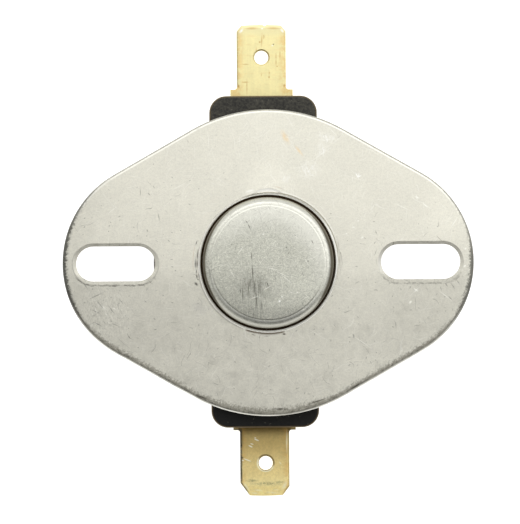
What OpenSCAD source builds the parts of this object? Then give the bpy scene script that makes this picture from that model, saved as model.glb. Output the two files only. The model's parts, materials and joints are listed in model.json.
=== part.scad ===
// Safety thermostat with an oval mounting flange, a snap disc and two tab terminals.
// Millimetres. The origin lies on the sensor cap's axis, in the plane of the flange's front face.
// +Z points out of the front face and +Y along the upper terminal.

/* [Flange] */
// Thickness of the flange plate
flange_t = 1.0; // [0.8:0.1:1.5]
// Radius of the long middle arcs of the outline
flange_mid_r = 19.35; // [18.6:0.05:21]
// Radius of the arc round each end
flange_end_r = 12.9; // [11.5:0.1:14.5]
// Distance from the middle to the centre of each end arc
flange_end_x = 13.05; // [12.4:0.05:14]
// Rounding of the front edge left by blanking
flange_edge_r = 0.35; // [0.1:0.05:0.6]
// Distance between the centres of the two slots
slot_spacing = 38.5; // [37:0.1:39]
// Clear length of each slot
slot_l = 10.0; // [8:0.1:10.6]
// Clear width of each slot
slot_w = 4.4; // [4.1:0.1:5.5]
// Width of the bevelled front lip of each slot
slot_lip_w = 0.4; // [0.2:0.05:0.5]
// Depth of the bevelled front lip of each slot
slot_lip_h = 0.22; // [0.1:0.02:0.4]
// Rounding of the front lip of the middle hole
hole_lip_r = 0.3; // [0.1:0.05:0.4]
// Radial gap between the cap and the middle hole
hole_gap = 0.3; // [0.2:0.05:0.6]
// Length of each stake mark beside the hole
stake_l = 4.4; // [3:0.1:6]
// Width of each stake mark at its middle
stake_w = 0.65; // [0.3:0.05:0.8]
// Depth of each stake mark
stake_depth = 0.03; // [0.02:0.01:0.2]
// Width of the sheared patch at the lip of the middle hole
shear_w = 0.45; // [0.35:0.05:0.6]
// Sideways shift of the patch that makes it fade out at both ends
shear_shift = 0.3; // [0.2:0.05:0.4]
// Depth of the sheared patch
shear_depth = 0.12; // [0.06:0.02:0.2]
// Angle of the middle of the sheared patch from the slot axis
shear_angle = 48; // [30:1:60]

/* [Clamp shell] */
// Sheet thickness of the clamp shell
shell_t = 0.6; // [0.4:0.1:0.8]
// Sideways offset of the shell from the cap, as it was staked
shell_dx = -0.25; // [-0.3:0.05:0.3]
// Lengthways offset of the shell from the cap, as it was staked
shell_dy = 0.06; // [-0.2:0.01:0.2]
// Radial gap between the body and the skirt of the shell
skirt_gap = 0.65; // [0.4:0.05:0.8]
// Distance of the skirt's edge from the back of the body
skirt_short = 1.2; // [0.8:0.1:2]
// Outer bend radius at the front corner of the shell
shell_bend_r = 1.2; // [0.9:0.1:1.4]
// Radial gap between the cap and the shell's hole
shell_hole_gap = 0.45; // [0.4:0.05:0.6]
// Gap on each side of a wing in its window
window_gap = 0.5; // [0.4:0.1:1]
// Gap between a window and the front face of its wing
window_top_gap = 0.3; // [0.2:0.1:0.8]
// Inner bend radius of the crimp lugs
lug_bend_r = 0.3; // [0.1:0.05:0.5]
// Width of each crimp lug
lug_w = 3.6; // [2.5:0.1:4.5]
// Reach of each crimp lug over the back of the body
lug_reach = 2.4; // [1.8:0.1:2.6]
// Angle of the crimp lugs from the slot axis
lug_angle = 38; // [34:1:42]

/* [Sensor cap] */
// Outer diameter of the cap
cap_d = 16.5; // [15.9:0.1:17.2]
// Height of the cap above the flange
cap_h = 2.0; // [1.8:0.1:3]
// Wall thickness of the cap and its brim
cap_wall = 0.5; // [0.4:0.05:0.6]
// Outer corner radius round the cap's face
cap_corner_r = 0.95; // [0.7:0.05:1.3]
// Distance of the brim's edge from the edge of the seat
brim_inset = 0.6; // [0.4:0.1:1.6]
// Radius of the flat middle of the cap's face
crown_flat_r = 5.0; // [4:0.1:6]
// Radius of the arc from there down to the edge of the face
crown_r = 30; // [20:1:60]
// Width of the flat ledge between the face and the rounded corner
cap_ledge_w = 0.05; // [0.05:0.05:0.4]
// Height of the step from the ledge up to the face
face_step_h = 0.03; // [0.02:0.01:0.1]
// Width of the step's slope
face_step_w = 0.15; // [0.1:0.05:0.4]

/* [Snap disc] */
// Diameter of the bimetal disc
disc_d = 13.8; // [13:0.1:14]
// Thickness of the bimetal disc
disc_t = 0.25; // [0.15:0.05:0.3]
// Height of the dome when cold
disc_dome = 0.4; // [0.3:0.05:0.5]
// Gap between the cold disc and the inside of the cap
disc_ceiling_gap = 0.2; // [0.1:0.05:0.4]
// Radial play round the rim of the disc
disc_play = 0.1; // [0.05:0.05:0.2]

/* [Disc seat] */
// Thickness of the plate of the seat
seat_t = 1.2; // [1:0.1:1.6]
// Distance of the seat's edge from the edge of the body
seat_inset = 0.2; // [0.1:0.05:0.6]
// Radial gap between the hub and the inside of the cap
hub_gap = 0.3; // [0.15:0.05:0.35]
// Height of the lip round the disc above its ledge
seat_lip_h = 0.35; // [0.2:0.05:0.5]
// Width of the ledge that the disc's rim lies on
ledge_w = 0.7; // [0.5:0.1:1.2]
// Depth of the bowl below the disc's ledge
bowl_depth = 1.1; // [0.9:0.1:1.5]
// Outer diameter of the guide tube round the pin
guide_d = 5.2; // [4.4:0.1:5.6]
// Length of the guide tube below the plate
guide_l = 0.9; // [0.5:0.1:1.2]
// Thickness of the insulating film
film_t = 0.15; // [0.1:0.05:0.3]
// Radial gap between the film and the guide tube
film_gap = 0.2; // [0.1:0.05:0.5]

/* [Transfer pin] */
// Diameter of the pin
pin_d = 2.4; // [2:0.1:3]
// Radial running clearance of the pin in its guide
pin_fit = 0.05; // [0.02:0.01:0.1]
// Gap between the pin and the cold disc
pin_disc_gap = 0.15; // [0.05:0.05:0.25]
// Gap between the pin and the contact arm
pin_arm_gap = 0.1; // [0.09:0.01:0.15]
// Travel of the pin when the disc snaps over
pin_travel = 0.65; // [0.4:0.05:0.75]
// Bevel on the ends of the pin
pin_bevel = 0.25; // [0.1:0.05:0.4]

/* [Switch body] */
// Diameter of the round middle of the body
body_d = 26.0; // [25.6:0.1:26.4]
// Thickness of the round middle
body_h = 6.3; // [6.2:0.1:7.5]
// Rounding of the rear edge of the round middle
body_edge_r = 0.4; // [0.4:0.05:0.6]
// Sideways play of the body in the shell, as it was crimped
body_dx = -0.25; // [-0.3:0.05:0.3]
// Lengthways play of the body in the shell, as it was crimped
body_dy = 0.08; // [-0.2:0.01:0.2]
// Width of the two wings
wing_w = 13.7; // [12:0.1:14.5]
// Length over both wings
wing_span = 42.2; // [40:0.1:42.6]
// Drop of the wings' front face below the front of the body
wing_drop = 0.8; // [0.6:0.1:1.5]
// Corner radius of the wings in plan
wing_corner_r = 2.15; // [1:0.05:3]
// Rounding of the wings' front edge
wing_edge_r = 0.3; // [0.1:0.05:0.6]
// Distance of each end of the rear barrier from the edge of the body
barrier_inset = 2.8; // [2.7:0.1:4]
// Width of the rear barrier between the terminals
barrier_w = 11.0; // [9:0.5:12]
// Height of the rear barrier
barrier_h = 3.15; // [2:0.05:5]
// Edge rounding of the rear barrier
barrier_edge_r = 0.6; // [0.2:0.1:1]
// Width of the contact chamber
chamber_w = 8.8; // [8.4:0.1:9.4]
// Room between the rivet heads and the ends of the chamber
head_room = 0.25; // [0.2:0.05:0.35]
// Corner radius of the chamber
chamber_corner_r = 2.2; // [1.8:0.1:3]
// Clearance of the arm's root and of the fixed contact's plate from the end of the chamber
chamber_gap = 0.15; // [0.1:0.05:0.3]
// Wall left between the lower rivet's hole and the deep part of the chamber
ledge_margin = 0.5; // [0.4:0.1:0.6]
// Side clearance of a terminal in its channel
channel_gap = 0.15; // [0.1:0.05:0.3]
// Clearance left above the chamber floor when the arm is open
floor_gap = 0.2; // [0.1:0.05:0.3]

/* [Terminals] */
// Thickness of the terminals
terminal_t = 0.8; // [0.5:0.1:0.9]
// Width of the tab blades
blade_w = 6.3; // [4.8:0.1:6.6]
// Width of the terminals' bases and shoulders
base_w = 8.0; // [7:0.1:8.4]
// Radius of the fillet between each shoulder and the blade
shoulder_r = 0.35; // [0.1:0.05:0.4]
// Sideways offset of the upper blade from the middle of the body
upper_dx = -0.17; // [-0.25:0.01:0.25]
// Sideways offset of the lower blade from the middle of the body
lower_dx = -0.11; // [-0.25:0.01:0.25]
// Distance of the upper tab's tip from the middle of the body
upper_tip = 30.4; // [29:0.1:32]
// Distance of the lower tab's tip from the middle of the body
lower_tip = 30.05; // [29:0.05:32]
// Radius of the slight bow of both tips
tip_bow_r = 36; // [12:1:60]
// Distance of the upper shoulder from the middle of the body
upper_shoulder = 22.1; // [21.6:0.1:23]
// Distance of the lower shoulder from the middle of the body
lower_shoulder = 21.6; // [21.5:0.1:22.5]
// Corner cut of the upper tab across its width
upper_cut_x = 0.68; // [0.4:0.02:1.5]
// Corner cut of the upper tab along its length
upper_cut_y = 0.82; // [0.4:0.01:1.8]
// Corner cut of the lower tab across its width, on the left in the front view
lower_left_cut_x = 1.24; // [0.4:0.02:1.5]
// Corner cut of the lower tab along its length, on the left in the front view
lower_left_cut_y = 1.67; // [0.4:0.01:1.8]
// Corner cut of the lower tab across its width, on the right in the front view
lower_right_cut_x = 0.92; // [0.4:0.02:1.5]
// Corner cut of the lower tab along its length, on the right in the front view
lower_right_cut_y = 1.2; // [0.4:0.1:1.8]
// Diameter of the latch hole in each tab
latch_hole_d = 1.8; // [1.6:0.1:2.2]
// Distance of the latch hole from the tip
latch_hole_back = 4.2; // [3.6:0.05:4.6]
// Sideways offset of the lower latch hole from the middle of its blade
lower_latch_dx = 0.12; // [-0.2:0.01:0.2]
// Width of the coined bevel round the latch hole
latch_bevel_w = 0.2; // [0.05:0.05:0.3]
// Depth of the coined bevel round the latch hole
latch_bevel_depth = 0.1; // [0.05:0.05:0.2]
// Width of the coined bevel along the edges of the blade
edge_bevel_w = 0.25; // [0.1:0.05:0.4]
// Depth of the coined bevel along the edges of the blade
edge_bevel_depth = 0.1; // [0.05:0.01:0.2]
// Length of the lead-in bevel at the upper tip
upper_lead_l = 0.4; // [0.2:0.1:1]
// Length of the lead-in bevel at the lower tip
lower_lead_l = 1.3; // [0.6:0.1:1.6]
// Place of the nick in the upper tip, from the middle of the blade
nick_x = 0.45; // [0.2:0.05:1]
// Diameter of the nick
nick_d = 0.5; // [0.3:0.05:0.8]
// Depth of the nick
nick_depth = 0.15; // [0.05:0.01:0.2]
// Distance of the rivets from the edge of the body
rivet_inset = 2.7; // [2.6:0.05:2.8]
// Metal left between the rivet hole and the inner end of a terminal
base_end_margin = 1.0; // [0.8:0.1:1.2]

/* [Contacts and rivets] */
// Thickness of the spring arm
arm_t = 0.25; // [0.15:0.05:0.3]
// Width of the spring arm along its free length
arm_w = 4.2; // [3.4:0.1:4.8]
// Width of the arm's root and of its clamp plate
root_w = 6.4; // [5.4:0.1:7]
// Distance of the bending line from the upper rivet
bend_back = 2.8; // [2.5:0.1:3]
// Thickness of the clamp plate over the arm's root
clamp_t = 0.5; // [0.4:0.1:0.8]
// Thickness of the plate that carries the fixed contact
fixed_plate_t = 0.8; // [0.5:0.1:0.9]
// Width of the plate that carries the fixed contact
fixed_plate_w = 4.8; // [4.6:0.1:6]
// Distance of the contacts from the lower rivet
contact_back = 4.5; // [4.3:0.1:4.9]
// Diameter of the contact heads
contact_d = 3.0; // [2.5:0.1:3.4]
// Height of the contact heads
contact_h = 0.55; // [0.4:0.05:0.7]
// Diameter of the contact stems
contact_stem_d = 1.5; // [1.2:0.1:1.8]
// Diameter of the riveted-over tails of the contacts
contact_tail_d = 2.2; // [2:0.1:2.6]
// Height of the riveted-over tails of the contacts
contact_tail_h = 0.25; // [0.15:0.05:0.35]
// Gap left between the closed contacts
contact_gap = 0.04; // [0.02:0.01:0.06]
// Diameter of the rivet shanks
rivet_d = 2.2; // [1.9:0.1:2.4]
// Radial clearance of the rivets in their holes
rivet_gap = 0.05; // [0.03:0.01:0.1]
// Diameter of the rivet heads
rivet_head_d = 3.5; // [3:0.1:3.8]
// Height of the rivet heads
rivet_head_h = 0.6; // [0.4:0.05:0.7]
// Diameter of the rolled ends of the rivets
rivet_roll_d = 4.0; // [3.6:0.1:4.6]
// Height of the rolled ends of the rivets
rivet_roll_h = 0.7; // [0.5:0.05:0.9]
// Diameter of the blind hole in the rolled end of each rivet
rivet_bore_d = 1.4; // [1:0.1:1.5]
// Depth of the blind hole in the rolled end of each rivet
rivet_bore_depth = 1.6; // [1:0.1:2]
// Gap between the lower rivet's head and the film
head_gap = 0.15; // [0.1:0.05:0.3]

/* [Hidden] */
$fn = 96;
// Overshoot of a cutting shape past the face that it opens
eps = 0.01;

// Diameters and places that follow the body's
seat_d = body_d - 2 * seat_inset;
brim_d = seat_d - 2 * brim_inset;
barrier_l = body_d - 2 * barrier_inset;
rivet_y = body_d / 2 - rivet_inset;
bend_y = rivet_y - bend_back;
contact_y = rivet_y - contact_back;
chamber_l = 2 * rivet_y + rivet_head_d + 2 * head_room;

// Levels along Z, from the front of the flange to the back
flange_back_z = -flange_t;
shell_floor_z = flange_back_z - shell_t;
brim_back_z = shell_floor_z - cap_wall;
seat_back_z = brim_back_z - seat_t;
body_front_z = seat_back_z - film_t;
body_rear_z = body_front_z - body_h;
barrier_rear_z = body_rear_z - barrier_h;
wing_front_z = body_front_z - wing_drop;
terminal_front_z = body_rear_z + terminal_t;

// Levels of the disc and the pin
ceiling_z = cap_h - cap_wall;
disc_rim_z = ceiling_z - disc_ceiling_gap - disc_dome - disc_t;
bowl_z = disc_rim_z - bowl_depth;
pin_top_z = disc_rim_z + disc_dome - pin_disc_gap;

// Levels of the contacts in the chamber
fixed_top_z = body_front_z - head_gap - rivet_head_h;
fixed_ledge_z = fixed_top_z - fixed_plate_t;
arm_top_z = fixed_ledge_z - 2 * contact_h - contact_gap;
arm_ledge_z = arm_top_z - arm_t;
pin_bottom_z = arm_top_z + pin_arm_gap;
clamp_top_z = arm_top_z + clamp_t;

// The arm turns about the bending line, so its drop grows with the distance from it
pin_lever = bend_y + shell_dy + body_dy;
arm_tip_y = -contact_y - arm_w / 2;
tip_drop = pin_travel * (bend_y - arm_tip_y) / pin_lever;
chamber_floor_z = arm_ledge_z - contact_tail_h - tip_drop - floor_gap;

// Shared radii
shell_bore_r = body_d / 2 + skirt_gap;
shell_r = shell_bore_r + shell_t;
cap_bore_r = cap_d / 2 - cap_wall;
hub_r = cap_bore_r - hub_gap;
seat_pocket_r = disc_d / 2 + disc_play;
flange_hole_r = cap_d / 2 + hole_gap;
rivet_hole_r = rivet_d / 2 + rivet_gap;
stem_hole_r = contact_stem_d / 2;

aluminium = [0.80, 0.79, 0.74];
steel = [0.66, 0.66, 0.64];
phenolic = [0.12, 0.11, 0.10];
brass = [0.86, 0.76, 0.47];
silver_alloy = [0.88, 0.88, 0.86];
ceramic = [0.93, 0.91, 0.86];

// Rectangle from the origin with its far corner rounded
module rounded_corner(w, h, r) {
    square([w - r, h]);
    square([w, h - r]);
    translate([w - r, h - r]) circle(r = r);
}

// Rectangle that stands on the X axis, centred, with both upper corners rounded
module rounded_top(w, h, r) {
    rounded_corner(w / 2, h, r);
    mirror([1, 0]) rounded_corner(w / 2, h, r);
}

// Disc that stands on z = 0 with a rounded upper edge
module rounded_disc(r, h, edge_r) {
    rotate_extrude() rounded_corner(r, h, edge_r);
}

// Lays a profile in the XZ plane and runs it along Y, centred
module run_y(l) {
    translate([0, l / 2, 0]) rotate([90, 0, 0]) linear_extrude(height = l) children();
}

// Lays a profile in the YZ plane and runs it along X, centred
module run_x(l) {
    rotate([0, 0, 90]) run_y(l) children();
}

// Plate with rounded corners in plan and a rounded upper edge
module rounded_plate(w, l, h, corner_r, edge_r) {
    run_y(l - 2 * corner_r) rounded_top(w, h, edge_r);
    run_x(w - 2 * corner_r) rounded_top(l, h, edge_r);
    for (sx = [-1, 1], sy = [-1, 1]) {
        translate([sx * (w / 2 - corner_r), sy * (l / 2 - corner_r), 0]) rounded_disc(corner_r, h, edge_r);
    }
}

// Round hole through a plate whose front face is z = 0, with a rounded lip
module lipped_hole(hole_r, t, r) {
    rotate_extrude() {
        translate([0, -t - eps]) square([hole_r, t + 2 * eps]);
        difference() {
            translate([0, -r]) square([hole_r + r, r + eps]);
            translate([hole_r + r, -r]) circle(r = r);
        }
    }
}

// Half of the section of a slot through a plate whose front face is y = 0, with a bevelled lip
module bevelled_half(half_w, t, lip_w, lip_h) {
    polygon([
        [0, -t - eps], [half_w, -t - eps], [half_w, -lip_h],
        [half_w + lip_w + lip_w * eps / lip_h, eps], [0, eps]
    ]);
}

module lipped_slot(l, w, t, lip_w, lip_h) {
    reach = (l - w) / 2;
    for (s = [-1, 1]) {
        translate([s * reach, 0, 0]) rotate_extrude() bevelled_half(w / 2, t, lip_w, lip_h);
    }
    run_x(2 * reach) {
        bevelled_half(w / 2, t, lip_w, lip_h);
        mirror([1, 0]) bevelled_half(w / 2, t, lip_w, lip_h);
    }
}

// Rectangle with rounded corners, as a flat outline
module rounded_outline(w, l, r) {
    square([w - 2 * r, l], center = true);
    square([w, l - 2 * r], center = true);
    for (sx = [-1, 1], sy = [-1, 1]) {
        translate([sx * (w / 2 - r), sy * (l / 2 - r)]) circle(r = r);
    }
}

// Moves the shell to where it was staked to the flange
module in_shell() {
    translate([shell_dx, shell_dy, 0]) children();
}

// Moves what belongs to the body to where it was crimped in the shell
module in_body() {
    in_shell() translate([body_dx, body_dy, 0]) children();
}

// The oval: a large disc, two end discs and four bars along their common tangents
module flange_blank() {
    step = flange_mid_r - flange_end_r;
    tangent_angle = acos(step / flange_end_x);
    tangent_l = sqrt(flange_end_x * flange_end_x - step * step);
    rounded_disc(flange_mid_r, flange_t, flange_edge_r);
    for (s = [-1, 1]) {
        translate([s * flange_end_x, 0, 0]) rounded_disc(flange_end_r, flange_t, flange_edge_r);
    }
    for (sx = [0, 1], sy = [0, 1]) {
        mirror([sx, 0, 0]) mirror([0, sy, 0]) rotate([0, 0, tangent_angle]) rotate([90, 0, 0])
            linear_extrude(height = tangent_l) rounded_corner(flange_mid_r, flange_t, flange_edge_r);
    }
}

// Crescent between the lip of the hole and the arc that the staking tool leaves, with a sloping wall
module stake_mark() {
    inner_r = flange_hole_r + hole_lip_r;
    outer_r = inner_r + stake_w;
    end_y = sqrt(inner_r * inner_r - stake_l * stake_l / 4);
    tool_y = (outer_r * outer_r - inner_r * inner_r) / (2 * (outer_r - end_y));
    tool_r = outer_r - tool_y;
    difference() {
        translate([0, tool_y, -stake_depth])
            cylinder(r1 = tool_r - stake_w / 2, r2 = tool_r, h = stake_depth + eps);
        translate([0, 0, -stake_depth - eps]) cylinder(r = inner_r, h = stake_depth + 3 * eps);
    }
}

// Shallow ledge where the punch sheared the lip of the hole on one side
module shear_patch() {
    r = flange_hole_r + shear_w - shear_shift;
    rotate([0, 0, shear_angle]) translate([shear_shift, 0, -shear_depth])
        cylinder(r1 = r - shear_depth, r2 = r, h = shear_depth + eps);
}

module mounting_flange() {
    color(aluminium) difference() {
        translate([0, 0, flange_back_z]) flange_blank();
        lipped_hole(flange_hole_r, flange_t, hole_lip_r);
        for (s = [-1, 1]) {
            translate([s * slot_spacing / 2, 0, 0])
                lipped_slot(slot_l, slot_w, flange_t, slot_lip_w, slot_lip_h);
        }
        for (a = [0:90:270]) {
            rotate([0, 0, a]) stake_mark();
        }
        shear_patch();
    }
}

// Half of the outline of a drum with its own rounding at the front and at the back
module drum_half(r, front, back, front_r, back_r) {
    middle = (front + back) / 2;
    translate([0, middle]) rounded_corner(r, front - middle, front_r);
    translate([0, middle]) mirror([0, 1]) rounded_corner(r, middle - back, back_r);
}

// Section of the shell at a crimp lug: floor, skirt and the lug folded in under the body
module shell_section() {
    difference() {
        drum_half(shell_r, flange_back_z, body_rear_z - shell_t, shell_bend_r, lug_bend_r + shell_t);
        drum_half(shell_bore_r, shell_floor_z, body_rear_z, shell_bend_r - shell_t, lug_bend_r);
        translate([0, body_rear_z - 2 * shell_t]) square([cap_d / 2 + shell_hole_gap, 2 * body_h]);
        translate([0, body_rear_z - 2 * shell_t]) square([shell_bore_r - lug_reach, 3 * shell_t]);
    }
}

module clamp_shell() {
    below_z = body_rear_z - 2 * shell_t;
    edge_z = body_rear_z + skirt_short;
    window_w = wing_w + 2 * window_gap;
    color(steel) in_shell() difference() {
        rotate_extrude() shell_section();
        translate([-window_w / 2, -2 * shell_r, below_z])
            cube([window_w, 4 * shell_r, wing_front_z + window_top_gap - below_z]);
        difference() {
            translate([0, 0, below_z]) cylinder(r = 2 * shell_r, h = edge_z - below_z);
            for (a = [lug_angle, 180 - lug_angle, 180 + lug_angle, -lug_angle]) {
                rotate([0, 0, a]) translate([0, -lug_w / 2, below_z - eps])
                    cube([3 * shell_r, lug_w, body_h]);
            }
        }
    }
}

// Drop of the cap's crowned face at a radius
function crown_drop(r) = crown_r - sqrt(crown_r * crown_r - (r - crown_flat_r) * (r - crown_flat_r));

// Drawn cup with a slightly crowned face, a small step down to its corner and a flat brim
module sensor_cap() {
    cup_h = cap_h - brim_back_z;
    face_r = cap_d / 2 - cap_corner_r;
    ledge_h = cup_h - crown_drop(face_r) - face_step_h;
    step_r = face_r - cap_ledge_w;
    slope_r = step_r - 2 * face_step_w;
    slope_h = 2 * (cup_h - crown_drop(step_r - face_step_w) - ledge_h);
    color(aluminium) rotate_extrude() difference() {
        intersection() {
            translate([0, brim_back_z]) {
                rounded_corner(cap_d / 2, ledge_h, cap_corner_r);
                square([brim_d / 2, cap_wall]);
                polygon([
                    [0, 0], [step_r, 0], [step_r, ledge_h], [slope_r, ledge_h + slope_h],
                    [slope_r, 2 * cup_h], [0, 2 * cup_h]
                ]);
            }
            translate([0, brim_back_z - crown_r])
                rounded_corner(crown_flat_r + crown_r, crown_r + cup_h, crown_r);
        }
        translate([0, brim_back_z - cap_wall]) rounded_corner(cap_bore_r, cup_h, cap_corner_r - cap_wall);
    }
}

// Shallow dome with its rim on the seat's ledge, curved towards the cap while cold
module bimetal_disc() {
    dome_r = (disc_d * disc_d / 4 + disc_dome * disc_dome) / (2 * disc_dome);
    color(steel) translate([0, 0, disc_rim_z]) rotate_extrude() intersection() {
        square([disc_d / 2, disc_dome + disc_t]);
        translate([0, disc_dome + disc_t - dome_r - disc_t]) difference() {
            circle(r = dome_r + disc_t, $fn = 256);
            circle(r = dome_r, $fn = 256);
        }
    }
}

// Plate with a hub in the cap, a ledge and lip for the disc, and a guide tube for the pin
module disc_seat() {
    guide_end_z = seat_back_z - guide_l;
    color(ceramic) rotate_extrude() difference() {
        union() {
            translate([0, seat_back_z]) square([seat_d / 2, seat_t]);
            translate([0, seat_back_z]) square([hub_r, disc_rim_z + seat_lip_h - seat_back_z]);
            translate([0, guide_end_z]) square([guide_d / 2, guide_l + seat_t]);
        }
        translate([0, disc_rim_z]) square([seat_pocket_r, seat_lip_h + eps]);
        translate([0, bowl_z]) square([disc_d / 2 - ledge_w, bowl_depth + eps]);
        translate([0, guide_end_z - eps]) square([pin_d / 2 + pin_fit, bowl_z - guide_end_z + 2 * eps]);
    }
}

module insulating_film() {
    color([0.80, 0.55, 0.25]) translate([0, 0, body_front_z]) difference() {
        cylinder(d = seat_d, h = film_t);
        translate([0, 0, -eps]) cylinder(r = guide_d / 2 + film_gap, h = film_t + 2 * eps);
    }
}

// Ceramic pin with bevelled ends
module transfer_pin() {
    h = pin_top_z - pin_bottom_z;
    r = pin_d / 2;
    color(ceramic) translate([0, 0, pin_bottom_z]) {
        cylinder(r1 = r - pin_bevel, r2 = r, h = pin_bevel);
        translate([0, 0, pin_bevel]) cylinder(r = r, h = h - 2 * pin_bevel);
        translate([0, 0, h - pin_bevel]) cylinder(r1 = r, r2 = r - pin_bevel, h = pin_bevel);
    }
}

// Stretch of the chamber's outline between two places along Y, drawn in by a clearance
module chamber_part(from_y, to_y, gap) {
    intersection() {
        rounded_outline(chamber_w - 2 * gap, chamber_l - 2 * gap, chamber_corner_r - gap);
        translate([-chamber_w, from_y]) square([2 * chamber_w, to_y - from_y]);
    }
}

module chamber_cut(from_y, to_y, floor_z) {
    translate([0, 0, floor_z]) linear_extrude(height = body_front_z - floor_z + eps)
        chamber_part(from_y, to_y, 0);
}

module switch_body() {
    fixed_ledge_y = rivet_hole_r + ledge_margin - rivet_y;
    channel_w = base_w + 2 * channel_gap;
    channel_from_y = rivet_y - rivet_hole_r - base_end_margin - channel_gap;
    color(phenolic) in_body() difference() {
        union() {
            translate([0, 0, body_front_z]) mirror([0, 0, 1]) rounded_disc(body_d / 2, body_h, body_edge_r);
            translate([0, 0, body_rear_z])
                rounded_plate(wing_w, wing_span, wing_front_z - body_rear_z, wing_corner_r, wing_edge_r);
            translate([0, 0, body_rear_z + eps]) mirror([0, 0, 1]) intersection() {
                rounded_disc(barrier_l / 2, barrier_h + eps, barrier_edge_r);
                run_x(barrier_l) rounded_top(barrier_w, barrier_h + eps, barrier_edge_r);
            }
        }
        chamber_cut(fixed_ledge_y, bend_y, chamber_floor_z);
        chamber_cut(bend_y - eps, chamber_l, arm_ledge_z);
        chamber_cut(-chamber_l, fixed_ledge_y + eps, fixed_ledge_z);
        for (s = [0, 1]) {
            rotate([0, 0, 180 * s]) {
                dx = s == 0 ? upper_dx : -lower_dx;
                translate([dx - channel_w / 2, channel_from_y, body_rear_z - eps])
                    cube([channel_w, wing_span, terminal_t + eps]);
                translate([0, rivet_y, body_rear_z - eps]) cylinder(r = rivet_hole_r, h = body_h);
            }
        }
    }
}

// Outline of the arm's root, which the clamp plate shares
module root_outline() {
    intersection() {
        chamber_part(bend_y, chamber_l, chamber_gap);
        translate([-root_w / 2, 0]) square([root_w, chamber_l]);
    }
}

// Spring blade: a wide root under the clamp plate, a free length and a round end at the contact
module contact_arm() {
    color(brass) in_body() translate([0, 0, arm_ledge_z]) linear_extrude(height = arm_t) difference() {
        union() {
            root_outline();
            translate([-arm_w / 2, -contact_y]) square([arm_w, contact_y + bend_y + eps]);
            translate([0, -contact_y]) circle(d = arm_w);
        }
        translate([0, -contact_y]) circle(r = stem_hole_r);
        translate([0, rivet_y]) circle(r = rivet_hole_r);
    }
}

module arm_clamp_plate() {
    color(brass) in_body() translate([0, 0, arm_top_z]) linear_extrude(height = clamp_t) difference() {
        root_outline();
        translate([0, rivet_y]) circle(r = rivet_hole_r);
    }
}

module fixed_contact_plate() {
    color(brass) in_body() translate([0, 0, fixed_ledge_z]) linear_extrude(height = fixed_plate_t)
        difference() {
            union() {
                intersection() {
                    chamber_part(-chamber_l, -contact_y, chamber_gap);
                    translate([-fixed_plate_w / 2, -chamber_l]) square([fixed_plate_w, chamber_l]);
                }
                translate([0, -contact_y]) circle(d = fixed_plate_w);
            }
            translate([0, -contact_y]) circle(r = stem_hole_r);
            translate([0, -rivet_y]) circle(r = rivet_hole_r);
        }
}

// Contact rivet that stands on z = 0 of a carrier of thickness t, head up
module contact_rivet(t) {
    cylinder(d = contact_d, h = contact_h - contact_h / 4);
    translate([0, 0, contact_h - contact_h / 4])
        cylinder(d1 = contact_d, d2 = contact_d - contact_h, h = contact_h / 4);
    translate([0, 0, -t - eps]) cylinder(r = stem_hole_r, h = t + 2 * eps);
    translate([0, 0, -t - contact_tail_h]) cylinder(d = contact_tail_d, h = contact_tail_h);
}

module moving_contact() {
    color(silver_alloy) in_body() translate([0, -contact_y, arm_top_z]) contact_rivet(arm_t);
}

module fixed_contact() {
    color(silver_alloy) in_body() translate([0, -contact_y, fixed_ledge_z])
        mirror([0, 0, 1]) contact_rivet(fixed_plate_t);
}

// Flat outline of a terminal's base up to the end of the fillets at its shoulders
module terminal_base(shoulder) {
    end_y = rivet_y - rivet_hole_r - base_end_margin;
    fillet_x = blade_w / 2 + shoulder_r;
    difference() {
        union() {
            translate([-base_w / 2, end_y]) square([base_w, shoulder - end_y]);
            translate([-fillet_x, shoulder - eps]) square([2 * fillet_x, shoulder_r + eps]);
        }
        for (s = [-1, 1]) {
            translate([s * fillet_x, shoulder + shoulder_r]) circle(r = shoulder_r);
        }
    }
}

// Slab behind the plane x = 0 with its two edges bevelled over a length, centred across its thickness
module bevelled_slab(bevel_l) {
    thick = terminal_t / 2;
    edge = thick - edge_bevel_depth;
    run_y(4 * base_w) polygon([
        [-2 * base_w, -thick], [-bevel_l, -thick], [0, -edge],
        [0, edge], [-bevel_l, thick], [-2 * base_w, thick]
    ]);
}

// Everything on the inner side of a blade's right edge and of the corner cut at its tip
module blade_side(tip, cut) {
    intersection() {
        translate([blade_w / 2, tip, 0]) bevelled_slab(edge_bevel_w);
        translate([blade_w / 2, tip - cut[1], 0]) rotate([0, 0, atan2(cut[0], cut[1])])
            bevelled_slab(edge_bevel_w);
    }
}

// Coined blade from a distance along +Y to its tip, centred across its thickness
module blade(from_y, tip, right_cut, left_cut, lead_l) {
    intersection() {
        translate([-base_w, from_y, -terminal_t]) cube([2 * base_w, tip, 2 * terminal_t]);
        translate([0, tip - tip_bow_r, 0]) cylinder(r = tip_bow_r, h = 2 * terminal_t, center = true);
        translate([0, tip, 0]) rotate([0, 0, 90]) bevelled_slab(lead_l);
        blade_side(tip, right_cut);
        mirror([1, 0, 0]) blade_side(tip, left_cut);
    }
}

// Latch hole with a coined bevel on both faces
module latch_hole() {
    cylinder(d = latch_hole_d, h = 2 * terminal_t, center = true);
    for (s = [0, 1]) {
        mirror([0, 0, s]) translate([0, 0, terminal_t / 2 - latch_bevel_depth])
            cylinder(d1 = latch_hole_d, d2 = latch_hole_d + 2 * latch_bevel_w, h = latch_bevel_depth + eps);
    }
}

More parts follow.
